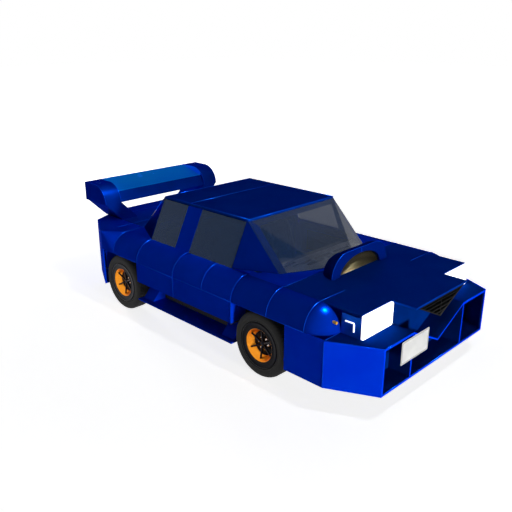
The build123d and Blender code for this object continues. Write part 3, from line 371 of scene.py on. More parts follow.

# Sprayed enamels: one coat of deep blue, with painted light and shade: each panel's copy is made lighter or darker
# by how much light that panel takes.
# Deep clear blue on the upright panels.
BODY_PAINT = paint_material("sprayed_blue_enamel", "#0034D4", "#003CE8")
# The same blue a little darker on the flat decks, as painted shade: they take less light.
DECK_SHADED_PAINT = paint_material("blue_enamel_decks_painted_shade", "#003094", "#0038A4", 0.06)
# Darker still on the fenders, as painted shade; their domes catch a soft highlight.
FENDER_SHADED_PAINT = paint_material("blue_enamel_fenders_painted_shade", "#0028A4", "#0030B8", 0.13)
# Navy on the frame round the glass and on the scoop: darker copies of the body blue, as painted shade.
FRAME_SHADED_PAINT = paint_material("navy_enamel_frame_painted_shade", "#001A74", "#002084")
SCOOP_SHADED_PAINT = paint_material("navy_enamel_scoop_painted_shade", "#001868", "#001E78")
# A brighter blue on the seam beads, as a painted highlight where a rounded edge would catch the light.
SEAM_HIGHLIGHT_PAINT = paint_material("blue_edge_enamel_painted_highlight", "#0040D0", "#0850E8", 0.22)
# Bright blue shelves round the lamps: a lighter copy of the body blue, as painted light.
LAMP_SHELF_LIT_PAINT = paint_material("lamp_housing_enamel_painted_light", "#0A4CC8", "#1860E0", 0.3)
# The brightest blue on the bumper's skin, as painted light, and dark navy on its inner faces, as painted shade in
# the intake's recesses.
BUMPER_LIT_AND_SHADED_PAINT = lit_and_shaded_paint(
    "bumper_enamel_painted_light_and_shade", 0.05, (0.2, 0.28), ("#003AF8", "#0042FF"), ("#00246C", "#002C80"),
    (((-1, 0, 0), 0.012 - HALF), ((-1, 0.5, 0), 0.012 - HALF + 0.5 * CORNER_Y), ((0, 1, 0), NOSE_Y + 0.006)))
# Light blue on the blade's upper face, as painted light, and navy on its leading face and on the pods, as painted
# shade.
WING_LIT_AND_SHADED_PAINT = lit_and_shaded_paint(
    "wing_enamel_painted_light_and_shade", 0.2, (0.22, 0.3), ("#002484", "#002C98"), ("#088CFF", "#1094FF"),
    (((-1, 0, 0), -ROOF_X - 0.0005), ((0, 1, 0), WING_FRONT + 0.069), ((0, 0, 1), SHOULDER_TOP + 0.295)))
# Matt blue-black sprayed bitumen under the floor.
UNDER_PAINT = moulded_material("underbody_coating", "#05070C", "#0B0F18", 0.7, 3.33)
# Dark blue side panes, and a paler screen.
GLASS = glass_material("tinted_toughened_glass", 0.62)
SCREEN_GLASS = glass_material("laminated_screen_glass", 0.46, rear_tint=0.26)
# Near-black plastic with a leather grain, and a flat black one behind the nose.
TRIM = moulded_material("grained_abs_plastic", "#050506", "#0D0D10")
GRILLE = moulded_material("black_grille_plastic", "#010102", "#030304", 0.75, Specular_IOR_Level=0.1)
# Satin white sheet with a slight waviness from the press, and its grey border.
PLATE = moulded_material("stamped_enamel_plate", "#D2D2D0", "#E2E2E0", 0.35, 16.7)
PLATE_EDGE = moulded_material("stamped_plate_border", "#8E9094", "#A4A6A8", 0.35, 16.7)
# Dusty black tyres, and a softer black at the doors' feet.
TYRE = rubber_material("vulcanised_tyre_rubber", "#0A0A0A", "#191919")
SEAL = rubber_material("foamed_door_seal_rubber", "#0B0B0C", "#18181A")
# Warm orange gold in the wheels' cones, glossy black round them and on their spokes.
GOLD = metal_material("gold_anodised_alloy", "#F08A18", "#FFAA38", 0.35)
RIM_BLACK = metal_material("gloss_black_rim_enamel", "#08080A", "#15151A", 0.3)
SPOKE_METAL = metal_material("gloss_black_spoke_enamel", "#0A0A10", "#1A1A22", 0.18)
# Bright mirror on small fittings.
CHROME = metal_material("chrome_plate", "#B8BCC4", "#E0E3E8", 0.12)
# Dark dull grey arms and rails, rougher grey on the engine, warm bare grey on the pipes.
STEEL = metal_material("phosphated_steel", "#1C1E20", "#2C2F32", 0.5)
CAST = metal_material("cast_iron", "#26282B", "#3A3D40", 0.6)
PIPE = metal_material("bare_exhaust_steel", "#6E6B66", "#A39E96", 0.35)
# Dull bronze wires across the scoop, and drab foam behind them.
MESH_METAL = metal_material("bronze_mesh", "#4A4432", "#6E664C", 0.45)
FILTER = moulded_material("oiled_foam_filter", "#34301F", "#423D2A", 0.9, 2.86)
# Lit white lenses.
LENS = lamp_material("lit_headlamp_lens", "#FFFFFF", "#E8F0FF", 1.6)
MARKER = lamp_material("lit_side_marker", "#FFFFFF", "#F2F6FF", 1.4)
# Glossy amber and red lenses.
AMBER = moulded_material("amber_acrylic", "#E8A000", "#FFD23C", 0.2, 5)
RED = moulded_material("red_acrylic", "#8C0A0A", "#D01818", 0.2, 5)
# Dark grey-blue cloth with grey cord round it, and a pale cover under the screen.
SEAT = fabric_material("woven_seat_cloth", "#0C0D12", "#23252E")
PIPING = moulded_material("grey_sewn_piping", "#3A3E4A", "#4A4F5C", 0.8, 2)
PALE_TRIM = moulded_material("pale_grey_moulded_trim", "#C8CCD4", "#D6DAE2", 0.7, 2)
# Glossy near-black over the dials and the screen.
DIAL = moulded_material("smoked_dial_glass", "#06080C", "#0E1218", 0.12, 25)

FINISHES = {
    BODY_PAINT: ("rear_quarters", "rear_bumper", "side_skirts", "wheelhouses", "bulkheads"),
    DECK_SHADED_PAINT: ("roof_panel", "hood", "trunk_lid"), FENDER_SHADED_PAINT: ("front_fenders",),
    FRAME_SHADED_PAINT: ("cabin_frame",), SCOOP_SHADED_PAINT: ("hood_scoop",), LAMP_SHELF_LIT_PAINT: ("headlights",),
    BUMPER_LIT_AND_SHADED_PAINT: ("front_bumper",), WING_LIT_AND_SHADED_PAINT: ("rear_wing",), UNDER_PAINT: ("floor_pan",),
    SCREEN_GLASS: ("fixed_glass",), LENS: ("headlight_lenses",), AMBER: ("indicators",), RED: ("tail_lamps",),
    GRILLE: ("grille",), TRIM: ("dashboard", "steering_wheel"), PLATE: ("number_plate",), SEAT: ("seats",),
    CAST: ("engine_block",), STEEL: ("suspension",), PIPE: ("exhaust",),
}
PAIRED_FINISHES = {
    BODY_PAINT: ("front_door", "rear_door"), GLASS: ("front_glass", "rear_glass"), STEEL: ("knuckle",),
    GOLD: ("front_rim", "rear_rim"), TYRE: ("front_tyre", "rear_tyre"),
}
finished = [(name, material) for material, names in FINISHES.items() for name in names]
finished += [(f"{name}_{side_name}", material) for material, names in PAIRED_FINISHES.items() for name in names
             for side_name, _ in SIDES]
for name, material in finished:
    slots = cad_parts[name].data.materials
    slots.clear()
    slots.append(material)


# ---- Wheels: radii and depths in metres, depth measured outwards from the wheel's middle plane ----
RIM_LOW, RIM_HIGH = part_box("front_rim_left")
TYRE_LOW, TYRE_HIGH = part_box("front_tyre_left")
TYRE_R, TYRE_HALF = (TYRE_HIGH.z - TYRE_LOW.z) / 2, (TYRE_HIGH.x - TYRE_LOW.x) / 2
RIM_R, FACE = (RIM_HIGH.z - RIM_LOW.z) / 2, (RIM_HIGH.x - RIM_LOW.x) / 2
BACK = FACE - 0.010                 # the back of the lip
LIP_R, DISH_R = 0.166, 0.122        # the gold cone's wide and narrow ends
DISH, CAP = FACE - 0.076, FACE - 0.050
SPOKES, SPOKE_PHASE = 6, math.radians(32)
BOLT_R = 0.05715                    # half of a 114.3 mm bolt circle
LIP = [(RIM_R - 0.002, FACE - 0.004), (RIM_R - 0.006, FACE), (RIM_R - 0.014, FACE + 0.001),
       (RIM_R - 0.022, FACE - 0.001), (RIM_R - 0.040, FACE - 0.003), (LIP_R + 0.010, FACE - 0.003),
       (LIP_R + 0.003, FACE - 0.0015), (LIP_R, FACE - 0.004), (LIP_R, BACK), (RIM_R - 0.002, BACK)]
BARREL = [(RIM_R - 0.001, BACK), (RIM_R - 0.001, -FACE), (RIM_R - 0.010, -FACE), (RIM_R - 0.010, -FACE + 0.006),
          (RIM_R - 0.014, -FACE + 0.020), (RIM_R - 0.014, BACK)]
CONE = [(LIP_R - 0.0005, FACE - 0.004), (LIP_R - 0.004, FACE - 0.010), (DISH_R + 0.006, DISH + 0.006),
        (DISH_R, DISH + 0.0015), (DISH_R + 0.002, DISH - 0.006), (LIP_R + 0.004, FACE - 0.014)]
BACK_PLATE = [(0, DISH + 0.002), (0.070, DISH + 0.002), (0.072, DISH), (DISH_R - 0.010, DISH),
              (DISH_R - 0.006, DISH + 0.002), (DISH_R + 0.001, DISH + 0.002), (DISH_R + 0.001, DISH - 0.010),
              (0, DISH - 0.010)]
HUB_CAP = [(0, CAP + 0.006), (0.012, CAP + 0.0055), (0.024, CAP + 0.003), (0.030, CAP - 0.002),
           (0.034, CAP - 0.006), (0.036, CAP - 0.014), (0.040, DISH + 0.006), (0.044, DISH + 0.001),
           (0, DISH + 0.001)]


def tyre_part(centre):
    """Radius over (t across the tread, a round the wheel): a flat crown with quarter-round shoulders and two
    raised side-wall rings, less four ring grooves and the cross grooves where cos(54 a + 70 |t|) is near one."""
    around, rows = 540, 45
    round_r, groove_depth, groove_half, grooves = 0.046, 0.006, 0.0026, (-0.036, -0.012, 0.012, 0.036)
    blocks, slant, tread_half, tread_low = 54, 70, TYRE_HALF - 0.012, 0.30
    half_crown = TYRE_HALF - round_r
    wall = np.array([(RIM_R + 0.001, 0.094), (RIM_R + 0.004, 0.0985), (0.244, 0.0995), (0.249, 0.0985),
                     (0.262, 0.1000), (0.274, 0.1005), (0.276, 0.1012), (0.280, 0.1012), (0.282, 0.1003)])
    angle = np.radians(np.linspace(4, 84, 9))
    shoulder = np.stack([TYRE_R - round_r + round_r * np.sin(angle), half_crown + round_r * np.cos(angle)], -1)
    crown = np.stack([np.full(rows, TYRE_R), np.linspace(half_crown, -half_crown, rows)], -1)
    outline = np.concatenate([wall, shoulder, crown, shoulder[::-1] * [1, -1], wall[::-1] * [1, -1]])
    turn = np.linspace(0, 2 * np.pi, around, endpoint=False)
    r, t = (np.repeat(column[:, None], around, 1) for column in outline.T)
    ring = np.max([np.clip(1.6 - np.abs(t - groove) / groove_half, 0, 1) for groove in grooves], axis=0)
    cross = np.clip((np.cos(turn * blocks + np.abs(t) * slant) - 0.82) / 0.1, 0, 1)
    cross = cross * (np.abs(t) < tread_half) * (r > tread_low)
    r = r - groove_depth * np.maximum(ring * (np.abs(t) < half_crown), cross * 0.8)
    verts = np.stack([t, r * np.cos(turn), r * np.sin(turn)], -1) + centre
    return verts.reshape(-1, 3), grid_faces(len(outline), around, True, True)


def spoke_part(centre, turn):
    """A bar that tapers from the cap out to the cone, its section a superellipse of power 4."""
    stations, count = 9, 16
    along = np.linspace(0, 1, stations)[:, None]
    across, deep = squared_circle(np.linspace(0, 2 * np.pi, count, endpoint=False), 0.5)
    r = 0.028 + along * 0.122
    t = CAP - 0.004 + along * (FACE - 0.030 - CAP) + (0.010 - 0.003 * along) * deep
    a = (0.0115 - 0.0035 * along) * across
    verts = np.stack([t, r * math.cos(turn) - a * math.sin(turn), r * math.sin(turn) + a * math.cos(turn)], -1)
    return (verts + centre).reshape(-1, 3), capped_faces(stations, count)


def bolt_part(centre, turn):
    """A hexagon head with a chamfered crown on a round washer: r = R cos 30 / cos((f mod 60) - 30)."""
    count = 12
    phi = np.linspace(0, 2 * np.pi, count, endpoint=False)
    hexagon = np.cos(np.pi / 6) / np.cos(phi % (np.pi / 3) - np.pi / 6)
    radius = np.repeat([[0.0125], [0.0125], [0.0095], [0.0095], [0.0080]], count, 1)
    radius[2:] *= hexagon
    depth = np.repeat([[0.002], [0.006], [0.006], [0.014], [0.0165]], count, 1)
    verts = np.stack([depth, radius * np.cos(phi), radius * np.sin(phi)], -1).reshape(-1, 3)
    place = np.add(centre, (DISH, BOLT_R * math.cos(turn), BOLT_R * math.sin(turn)))
    return verts + place, capped_faces(len(radius), count)


for end in ("front", "rear"):
    for side_name, side in SIDES:
        low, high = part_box(f"{end}_rim_{side_name}")
        hub = (abs(low.x + high.x) / 2, (low.y + high.y) / 2, (low.z + high.z) / 2)
        star = [spoke_part(hub, SPOKE_PHASE + k * 2 * math.pi / SPOKES) for k in range(SPOKES)]
        bolts = [bolt_part(hub, SPOKE_PHASE + (k + 0.5) * 2 * math.pi / SPOKES) for k in range(SPOKES)]
        for kind, part, material, slot, stands_for in (
                ("tyre", tyre_part(hub), TYRE, "tyre", "tyre"),
                ("rim_lip", turned(LIP, hub, 128), RIM_BLACK, "rim_metal", "rim"),
                ("rim_barrel", turned(BARREL, hub), RIM_BLACK, "rim_metal", None),
                ("rim_cone", turned(CONE, hub, 128), GOLD, "rim_metal", None),
                ("rim_back_plate", turned_solid(BACK_PLATE, hub, 96), RIM_BLACK, "rim_metal", None),
                ("rim_spokes", joined(star + [turned_solid(HUB_CAP, hub, 48)]), SPOKE_METAL, "rim_metal", None),
                ("wheel_bolts", joined(bolts), CHROME, "chassis_steel", None)):
            made = piece(f"{kind}_{end}_{side_name}", part, material, f"{end}_wheel_{side_name}", side)
            if stands_for:
                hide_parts(f"{end}_{stands_for}_{side_name}")


# ---- Beads: fine raised lines along panel joints and edges ----
def bead_part(path, normals, width=0.0055, height=0.0026, closed=False):
    """A half-round bead on a thin base: P + B (w / 2) cos f + N h sin f along a path, with B = T x N."""
    path, base = np.asarray(path, float), -0.0006
    normals = np.broadcast_to(np.asarray(normals, float), path.shape)
    across = unit_rows(np.cross(path_tangent(path, closed), normals))
    f = np.linspace(0, np.pi, 6)
    wide, high = np.append(np.cos(f), [-1, 1]) * width / 2, np.append(np.sin(f) * height, [base, base])
    verts = path[:, None] + across[:, None] * wide[:, None] + normals[:, None] * high[:, None]
    faces = grid_faces(len(path), len(f) + 2, True, True) if closed else capped_faces(len(path), len(f) + 2)
    return verts.reshape(-1, 3), faces


def straight(start, end, normal):
    """A bead along a straight run."""
    s = np.linspace(0, 1, 4)[:, None]
    return bead_part(np.asarray(start) * (1 - s) + np.asarray(end) * s, normal)


def arc_bead(y):
    """A bead over the quarter-round shoulder at one station: x = line + R cos f, z = arch top + R sin f."""
    f = np.linspace(0.02, np.pi / 2, 24)
    normals = np.stack([np.cos(f), 0 * f, np.sin(f)], -1)
    return bead_part(normals * SHOULDER_RADIUS + (LINE_HALF, y, ARCH_TOP), normals)


def scoop_edge():
    """The scoop's front edge: a quarter turn, a straight top and a quarter turn."""
    f = np.linspace(0, np.pi / 2, 16)
    right = np.stack([-np.cos(f), 0 * f, np.sin(f)], -1)
    path = right * SCOOP_R + (SCOOP_R - SCOOP_HIGH.x, MOUTH_Y + EDGE, SHOULDER_TOP)
    return bead_part(*(np.concatenate([half, half[::-1] * [-1, 1, 1]]) for half in (path, right)))


def pod_edge(x):
    """The edge of a wing pod at one side: a quarter turn over its nose, then straight back along its top."""
    f, radius = np.linspace(0.03, np.pi / 2, 16), GRID
    nose_n = np.stack([0 * f, -np.cos(f), np.sin(f)], -1)
    nose = nose_n * radius + (x, WING_FRONT + radius, WING_TOP - radius)
    top = [(x, TAIL_Y - 0.15, WING_TOP), (x, TAIL_Y - 0.004, WING_TOP)]
    return bead_part(np.concatenate([nose, top]), np.concatenate([nose_n, [UP, UP]]))


def both_sides(body, part):
    """Adds a bead of the left side and its mirror image, on one body or on a door of each side."""
    verts, faces = part
    left, right = (body, body) if body in BEADS else (body + "_left", body + "_right")
    BEADS[left].append(part)
    BEADS[right].append((verts * [-1, 1, 1], faces))


(_, DOOR_FRONT, DOOR_BOTTOM), (_, DOOR_SPLIT, _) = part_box("front_door_left")
DOOR_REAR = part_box("rear_door_left")[1].y
REAR_DOOR_FRONT = DOOR_SPLIT + GAP
CORNER_HALF = HALF - GRID
HOOD_SIDE, COWL_Y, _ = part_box("hood")[1]
LID_LOW, LID_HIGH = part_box("trunk_lid")
SCOOP_LOW, SCOOP_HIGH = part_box("hood_scoop")
SCOOP_R, MOUTH_Y = SCOOP_HIGH.z - SHOULDER_TOP, SCOOP_LOW.y
SCOOP_TOP = SHOULDER_TOP + SCOOP_R
WING_SIDE, _, WING_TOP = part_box("rear_wing")[1]
ROOF_Z, ROOF_FRONT, ROOF_BACK, ROOF_EDGE = ROOF_HIGH.z, ROOF_LOW.y + 0.004, ROOF_HIGH.y - 0.02, ROOF_X - 0.004
BEADS = {body: [] for body in ("body", "hood", "trunk_lid", "front_door_left", "rear_door_left",
                               "front_door_right", "rear_door_right")}
for body, y in (("body", -7 * GRID), ("body", -5 * GRID), ("body", 6 * GRID), ("front_door", DOOR_FRONT + EDGE),
                ("front_door", -GRID), ("rear_door", REAR_DOOR_FRONT + EDGE), ("rear_door", DOOR_REAR - EDGE)):
    both_sides(body, arc_bead(y))
for body, front, rear in (("body", CORNER_Y + SHOULDER_RADIUS, DOOR_FRONT - GAP - 0.002),
                          ("front_door", DOOR_FRONT, DOOR_SPLIT), ("rear_door", REAR_DOOR_FRONT, DOOR_REAR),
                          ("body", DOOR_REAR + GAP, 7 * GRID)):
    both_sides(body, straight((HALF, front, ARCH_TOP), (HALF, rear, ARCH_TOP), OUT))
for body, y in (("front_door", DOOR_FRONT + EDGE), ("rear_door", REAR_DOOR_FRONT + EDGE)):
    both_sides(body, straight((HALF, y, DOOR_BOTTOM + 0.004), (HALF, y, ARCH_TOP), OUT))
CORNER, FRONT_CORNER = (HALF, CORNER_Y, ARCH_TOP), (CORNER_HALF, NOSE_Y, ARCH_TOP)
for start, end, normal in (
        ((HALF, CORNER_Y, UNDERSIDE + 0.004), (HALF, CORNER_Y, ARCH_TOP - 0.004), (0.99, -0.12, 0)),
        (CORNER, FRONT_CORNER, UP), (FRONT_CORNER, (2 * GRID, NOSE_Y, ARCH_TOP), UP),
        ((CORNER_HALF, NOSE_Y, UNDERSIDE + 0.02), (0, NOSE_Y, UNDERSIDE + 0.02), FORWARD),
        (CORNER, (LINE_HALF, CORNER_Y, ARCH_TOP), UP),
        ((ROOF_EDGE, ROOF_FRONT, ROOF_Z), (ROOF_EDGE, ROOF_BACK, ROOF_Z), UP)):
    both_sides("body", straight(start, end, normal))
for body, inner, outer, stations in (
        ("hood", HOOD_SIDE, 0.56, (COWL_Y - EDGE, -7 * GRID)),
        ("body", HOOD_SIDE + GAP, LINE_HALF, (-7 * GRID, COWL_Y - EDGE)),
        ("body", LID_HIGH.x + GAP, LINE_HALF, (6 * GRID, 7 * GRID, 9 * GRID))):
    for y in stations:
        both_sides(body, straight((inner, y, SHOULDER_TOP), (outer, y, SHOULDER_TOP), UP))
BEADS["body"] += [straight((-ROOF_X, y, ROOF_Z), (ROOF_X, y, ROOF_Z), UP) for y in (2 * GRID, ROOF_FRONT, ROOF_BACK)]
BEADS["trunk_lid"] += [straight((LID_LOW.x, y, SHOULDER_TOP), (LID_HIGH.x, y, SHOULDER_TOP), UP)
                       for y in (LID_LOW.y + EDGE, 7 * GRID, 9 * GRID)]
BEADS["hood"] += [scoop_edge(), straight((0, MOUTH_Y, SCOOP_TOP - 0.05), (0, MOUTH_Y, SCOOP_TOP - 0.004), FORWARD)]
for x in (WING_SIDE - 0.004, ROOF_X + 0.004):
    both_sides("trunk_lid", pod_edge(x))
# Every bead takes the brighter seam blue: a painted highlight along the joints and edges.
for body, parts in BEADS.items():
    piece(f"edge_beads_{body}", joined(parts), SEAM_HIGHLIGHT_PAINT, body)


# ---- Lamps, plate, seals, door cards, scoop mesh, exhaust tips ----
def rounded_loop(x0, x1, z0, z1, radius, y, count=6):
    """A rounded rectangle in a plane of constant y: a quarter turn C + r (cos f, sin f) at each corner."""
    points = []
    for quarter, (x, z) in enumerate(((x1 - radius, z1 - radius), (x0 + radius, z1 - radius),
                                      (x0 + radius, z0 + radius), (x1 - radius, z0 + radius))):
        f = np.linspace(0, np.pi / 2, count) + quarter * np.pi / 2
        points.append(np.stack([x + radius * np.cos(f), np.full(count, y), z + radius * np.sin(f)], -1))
    return np.concatenate(points)


def lamp_face(x, z):
    """A point on the tail lamp's outer face, which in plan runs straight from its inner to its outer edge."""
    t = (x - LAMP_INNER) / (LAMP_HIGH.x - LAMP_INNER)
    return x, LAMP_HIGH.y + t * (LAMP_LOW.y + 0.0087 - LAMP_HIGH.y), z


def half_ellipse(width, height, y, lift):
    """An upright half ellipse over the hood: x = a cos f, z = lift + b sin f."""
    f = np.linspace(0, np.pi, 40)
    return np.stack([width * np.cos(f), np.full(40, y), SHOULDER_TOP + lift + height * np.sin(f)], -1)


def scoop_mesh(pitch=0.009, wire_radius=0.0017):
    """Crossed wires a pitch apart, cut to the half ellipse (x / a)^2 + (z / b)^2 = 1."""
    parts = []
    for z in np.arange(pitch / 2, MESH_B, pitch):
        x = np.linspace(-1, 1, 3) * MESH_A * math.sqrt(1 - (z / MESH_B) ** 2)
        parts.append(np.stack([x, np.full(3, MESH_Y - wire_radius), np.full(3, SHOULDER_TOP + z)], -1))
    for x in np.arange(-MESH_A + pitch / 2, MESH_A, pitch):
        z = np.linspace(0, 1, 3) * MESH_B * math.sqrt(1 - (x / MESH_A) ** 2)
        parts.append(np.stack([np.full(3, x), np.full(3, MESH_Y + wire_radius), SHOULDER_TOP + z], -1))
    return joined([tube(path, wire_radius, 5) for path in parts])


MARKER_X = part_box("headlights")[1].x + 0.003
MARKER_LINE = ((-1.848, 0.804), (-1.90, 0.805), (-1.930, 0.806), (-1.937, 0.803), (-1.938, 0.796), (-1.938, 0.76),
               (-1.938, 0.726))
LENS_LOW, LENS_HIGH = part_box("headlight_lenses")
LENS_INNER, LAMP_INNER = 0.456, 0.691
LAMP_LOW, LAMP_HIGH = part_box("tail_lamps")
LAMP_X = (LAMP_INNER + 0.005, LAMP_HIGH.x - 0.005)
LAMP_Z = (LAMP_LOW.z + 0.005, LAMP_HIGH.z - 0.005)
LAMP_SPLIT = LAMP_X[0] * 0.6 + LAMP_X[1] * 0.4
LAMP_EDGES = [((x, LAMP_Z[0]), (x, LAMP_Z[1])) for x in (*LAMP_X, LAMP_SPLIT)]
LAMP_EDGES += [((LAMP_X[0], z), (LAMP_X[1], z)) for z in LAMP_Z]
CARD_INSET = 0.195                  # from a door's outside to its card
for side_name, side in SIDES:
    marker = tube([(MARKER_X, y, z) for y, z in MARKER_LINE], 0.0065, 10)
    piece(f"side_marker_{side_name}", marker, MARKER, "body", side)
    loops = [rounded_loop(LENS_INNER + inner, LENS_HIGH.x - inner, LENS_LOW.z + low, LENS_HIGH.z + high, radius,
                          LENS_LOW.y + depth)
             for inner, low, high, radius, depth in (
                 (-0.004, -0.001, 0.002, 0.018, -0.001), (-0.002, 0.001, 0, 0.017, -0.005),
                 (0.006, 0.009, -0.008, 0.014, -0.005), (0.008, 0.011, -0.010, 0.013, 0.001))]
    rim = np.concatenate(loops), grid_faces(len(loops), len(loops[0]), True, True)
    piece(f"lamp_rim_{side_name}", rim, LENS, "body", side)
    ribs = [tube([lamp_face(LAMP_X[0] + 0.004, z), lamp_face(LAMP_X[1] - 0.004, z)], 0.0025)
            for z in np.linspace(*LAMP_Z, 8)[1:-1]]
    piece(f"tail_lamp_ribs_{side_name}", joined(ribs), RED, "body", side)
    edges = [tube([lamp_face(*start), lamp_face(*end)], 0.005, 10) for start, end in LAMP_EDGES]
    piece(f"tail_lamp_rim_{side_name}", joined(edges), TRIM, side=side)
    seal = box_part((0.889, DOOR_FRONT + 0.010, 0.425), (0.909, DOOR_REAR - 0.010, 0.483))
    piece(f"door_seal_{side_name}", seal, SEAL, side=side, bevel=0.007, segments=3)
    for end in ("front", "rear"):
        door = f"{end}_door_{side_name}"
        low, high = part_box(door)
        x, y0, y1 = max(abs(low.x), abs(high.x)) - CARD_INSET, low.y + 0.08, high.y - 0.10
        card = joined([box_part((x - 0.008, y0, 0.53), (x + 0.001, y1, 0.785)),
                       box_part((x - 0.045, y0 + 0.16, 0.655), (x - 0.004, y1 - 0.08, 0.692)),
                       box_part((x - 0.026, y0 + 0.04, 0.537), (x - 0.004, y1 - 0.24, 0.605))])
        cloth = box_part((x - 0.012, y0 + 0.03, 0.705), (x - 0.004, y1 - 0.03, 0.772))
        lever = box_part((x - 0.020, y0 + 0.05, 0.640), (x - 0.004, y0 + 0.13, 0.660))
        for kind, part, material, slot, bevel in (("door_card", card, TRIM, "trim_black", 0.005),
                                                  ("door_card_cloth", cloth, SEAT, "seat_fabric", 0.003),
                                                  ("door_lever", lever, CHROME, "trim_black", 0.004)):
            piece(f"{kind}_{end}_{side_name}", part, material, door, side, bevel=bevel)

PLATE_LOW, PLATE_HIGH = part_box("number_plate")
BORDER, BOLT_APART, BOLT_DROP = 0.010, 0.24, 0.030
border = rounded_loop(PLATE_LOW.x + BORDER, PLATE_HIGH.x - BORDER, PLATE_LOW.z + BORDER, PLATE_HIGH.z - BORDER,
                      0.014, PLATE_LOW.y)
piece("plate_border", bead_part(border, FORWARD, 0.007, 0.002, closed=True), PLATE_EDGE, "body")
bolts = [dome_y(((PLATE_LOW.x + PLATE_HIGH.x + apart) / 2, PLATE_LOW.y, PLATE_HIGH.z - BOLT_DROP), 0.008, 0.004)
         for apart in (-BOLT_APART, BOLT_APART)]
piece("plate_bolts", joined(bolts), CHROME, "body")

MESH_A, MESH_B, MESH_Y = 0.322, 0.168, MOUTH_Y + 0.026
piece("scoop_mesh", scoop_mesh(), MESH_METAL, "hood")
piece("scoop_mesh_frame", tube(half_ellipse(MESH_A, MESH_B, MESH_Y, 0.004), 0.006, 10), MESH_METAL, "hood")
foam = half_ellipse(MESH_A - 0.004, MESH_B - 0.004, MESH_Y + 0.012, 0.002)
piece("scoop_filter", thick_outline(foam, (0, 0.003, 0)), FILTER, "hood", smooth=False)

TIP_Z = 0.1947                      # the height of the CAD pipes' ends
TIP = [(0.0255, TAIL_Y - 0.090), (0.0290, TAIL_Y - 0.088), (0.0300, TAIL_Y - 0.004), (0.0290, TAIL_Y + 0.002),
       (0.0265, TAIL_Y + 0.003), (0.0252, TAIL_Y)]
for number, x in ((1, 0.21), (2, 0.31)):
    verts, faces = turned(TIP, sides=48)
    piece(f"exhaust_tip_{number}", (verts[:, [1, 0, 2]] + (x, 0, TIP_Z), faces), CHROME, "body")


# ---- Seats: crowned pads puffed up between their sewn lines, piping round the edges ----
SEAT_X = 0.39
LEAN, BENCH_LEAN = math.atan2(0.210, 0.620), 0.405
PUFF_FRAMES, PUFF_CAP, VOXEL = 20, 0.016, 0.010


def points_of(mesh):
    """A mesh's vertices as rows of x, y and z."""
    flat = np.empty(len(mesh.vertices) * 3)
    mesh.vertices.foreach_get("co", flat)
    return flat.reshape(-1, 3)


def pad_outline(half_x, half_y, u, v):
    """X = hx u sqrt(1 - 0.1 v^8), and Y likewise: sides that pull in towards the corners."""
    return half_x * u * np.sqrt(1 - 0.10 * v ** 8), half_y * v * np.sqrt(1 - 0.10 * u ** 8)


def seam_depth(x, y, seams_x, seams_y, half_x, half_y, breadth=0.010):
    """One on a sewn line, nothing a couple of breadths away; lines at given x, and at given y between them."""
    depth, short_of_edge = np.zeros_like(x), 0.93
    for line in seams_x:
        depth = np.maximum(depth, np.exp(-((x - line) / breadth) ** 2) * (np.abs(y) < half_y * short_of_edge))
    inner = min(abs(line) for line in seams_x) if seams_x else half_x * short_of_edge
    for line in seams_y:
        depth = np.maximum(depth, np.exp(-((y - line) / breadth) ** 2) * (np.abs(x) < inner))
    return depth


def pad_form(half_x, half_y, thick, seams_x, seams_y, bolster, cells):
    """A crowned pad: height thick (0.55 + 0.45 c(u) c(v)) with c(s) = sqrt(1 - |s|^4), raised by bolsters near
    |u| = 0.8 and pressed down along the seams."""
    u, v = np.meshgrid(*(np.linspace(-1, 1, count) for count in cells), indexing="ij")
    x, y = pad_outline(half_x, half_y, u, v)
    z = thick * (0.55 + 0.45 * (np.sqrt(1 - np.abs(u) ** 4) * np.sqrt(1 - np.abs(v) ** 4)))
    z = z + bolster * np.exp(-((np.abs(u) - 0.80) / 0.13) ** 2) * (1 - v ** 6)
    z = z - 0.012 * seam_depth(x, y, seams_x, seams_y, half_x, half_y)
    top, low = np.stack([x, y, z], -1), np.stack([x * 0.97, y * 0.97, 0 * z], -1)
    return np.concatenate([top.reshape(-1, 3), low.reshape(-1, 3)]), slab_faces(*cells)


def puff(form, seams_x, seams_y, half_x, half_y, thick):
    """Inflates a pad with cloth while its underside and seams are held, and keeps each move under a cap."""
    select_only(form)
    form.data.remesh_voxel_size = VOXEL
    bpy.ops.object.voxel_remesh()
    points = points_of(form.data)
    x, y, z = points.T
    sewn = seam_depth(x, y, seams_x, seams_y, half_x, half_y) > 0.6
    held = (z < 0.25 * thick) | (sewn & (z > 0.4 * thick))
    group = form.vertex_groups.new(name="held")
    group.add(np.flatnonzero(held).tolist(), 1.0, "REPLACE")
    cloth = form.modifiers.new("Cloth", "CLOTH")
    cloth.settings.use_pressure = True
    cloth.settings.uniform_pressure_force = 4.0
    cloth.settings.effector_weights.gravity = 0.0
    cloth.settings.vertex_group_mass = "held"
    cloth.settings.quality = 4
    cloth.point_cache.frame_start, cloth.point_cache.frame_end = 1, PUFF_FRAMES
    for number in range(1, PUFF_FRAMES + 1):
        bpy.context.scene.frame_set(number)
    shift = points_of(form.evaluated_get(bpy.context.evaluated_depsgraph_get()).data) - points
    shift *= np.minimum(1, PUFF_CAP / np.maximum(np.linalg.norm(shift, axis=1)[:, None], 1e-9))
    form.modifiers.remove(cloth)
    form.vertex_groups.remove(group)
    form.data.vertices.foreach_set("co", (points + shift).ravel())
    form.data.update()
    bpy.context.scene.frame_set(1)


def pad_piping(half_x, half_y, thick, count=96):
    """A cord round the pad's outline, at just over half its height."""
    u, v = squared_circle(np.linspace(0, 2 * np.pi, count, endpoint=False), 0.28)
    x, y = pad_outline(half_x, half_y, u, v)
    return tube(np.stack([x, y, np.full(count, thick * 0.56)], -1), 0.0045, 8, closed=True)


def stood(verts, centre, lean):
    """Turns pad points (x across, y along, z proud) so that y climbs a back leaning by an angle."""
    if lean is None:
        return verts + centre
    up, proud = (0, math.sin(lean), math.cos(lean)), (0, -math.cos(lean), math.sin(lean))
    return verts @ np.array([OUT, up, proud]) + centre


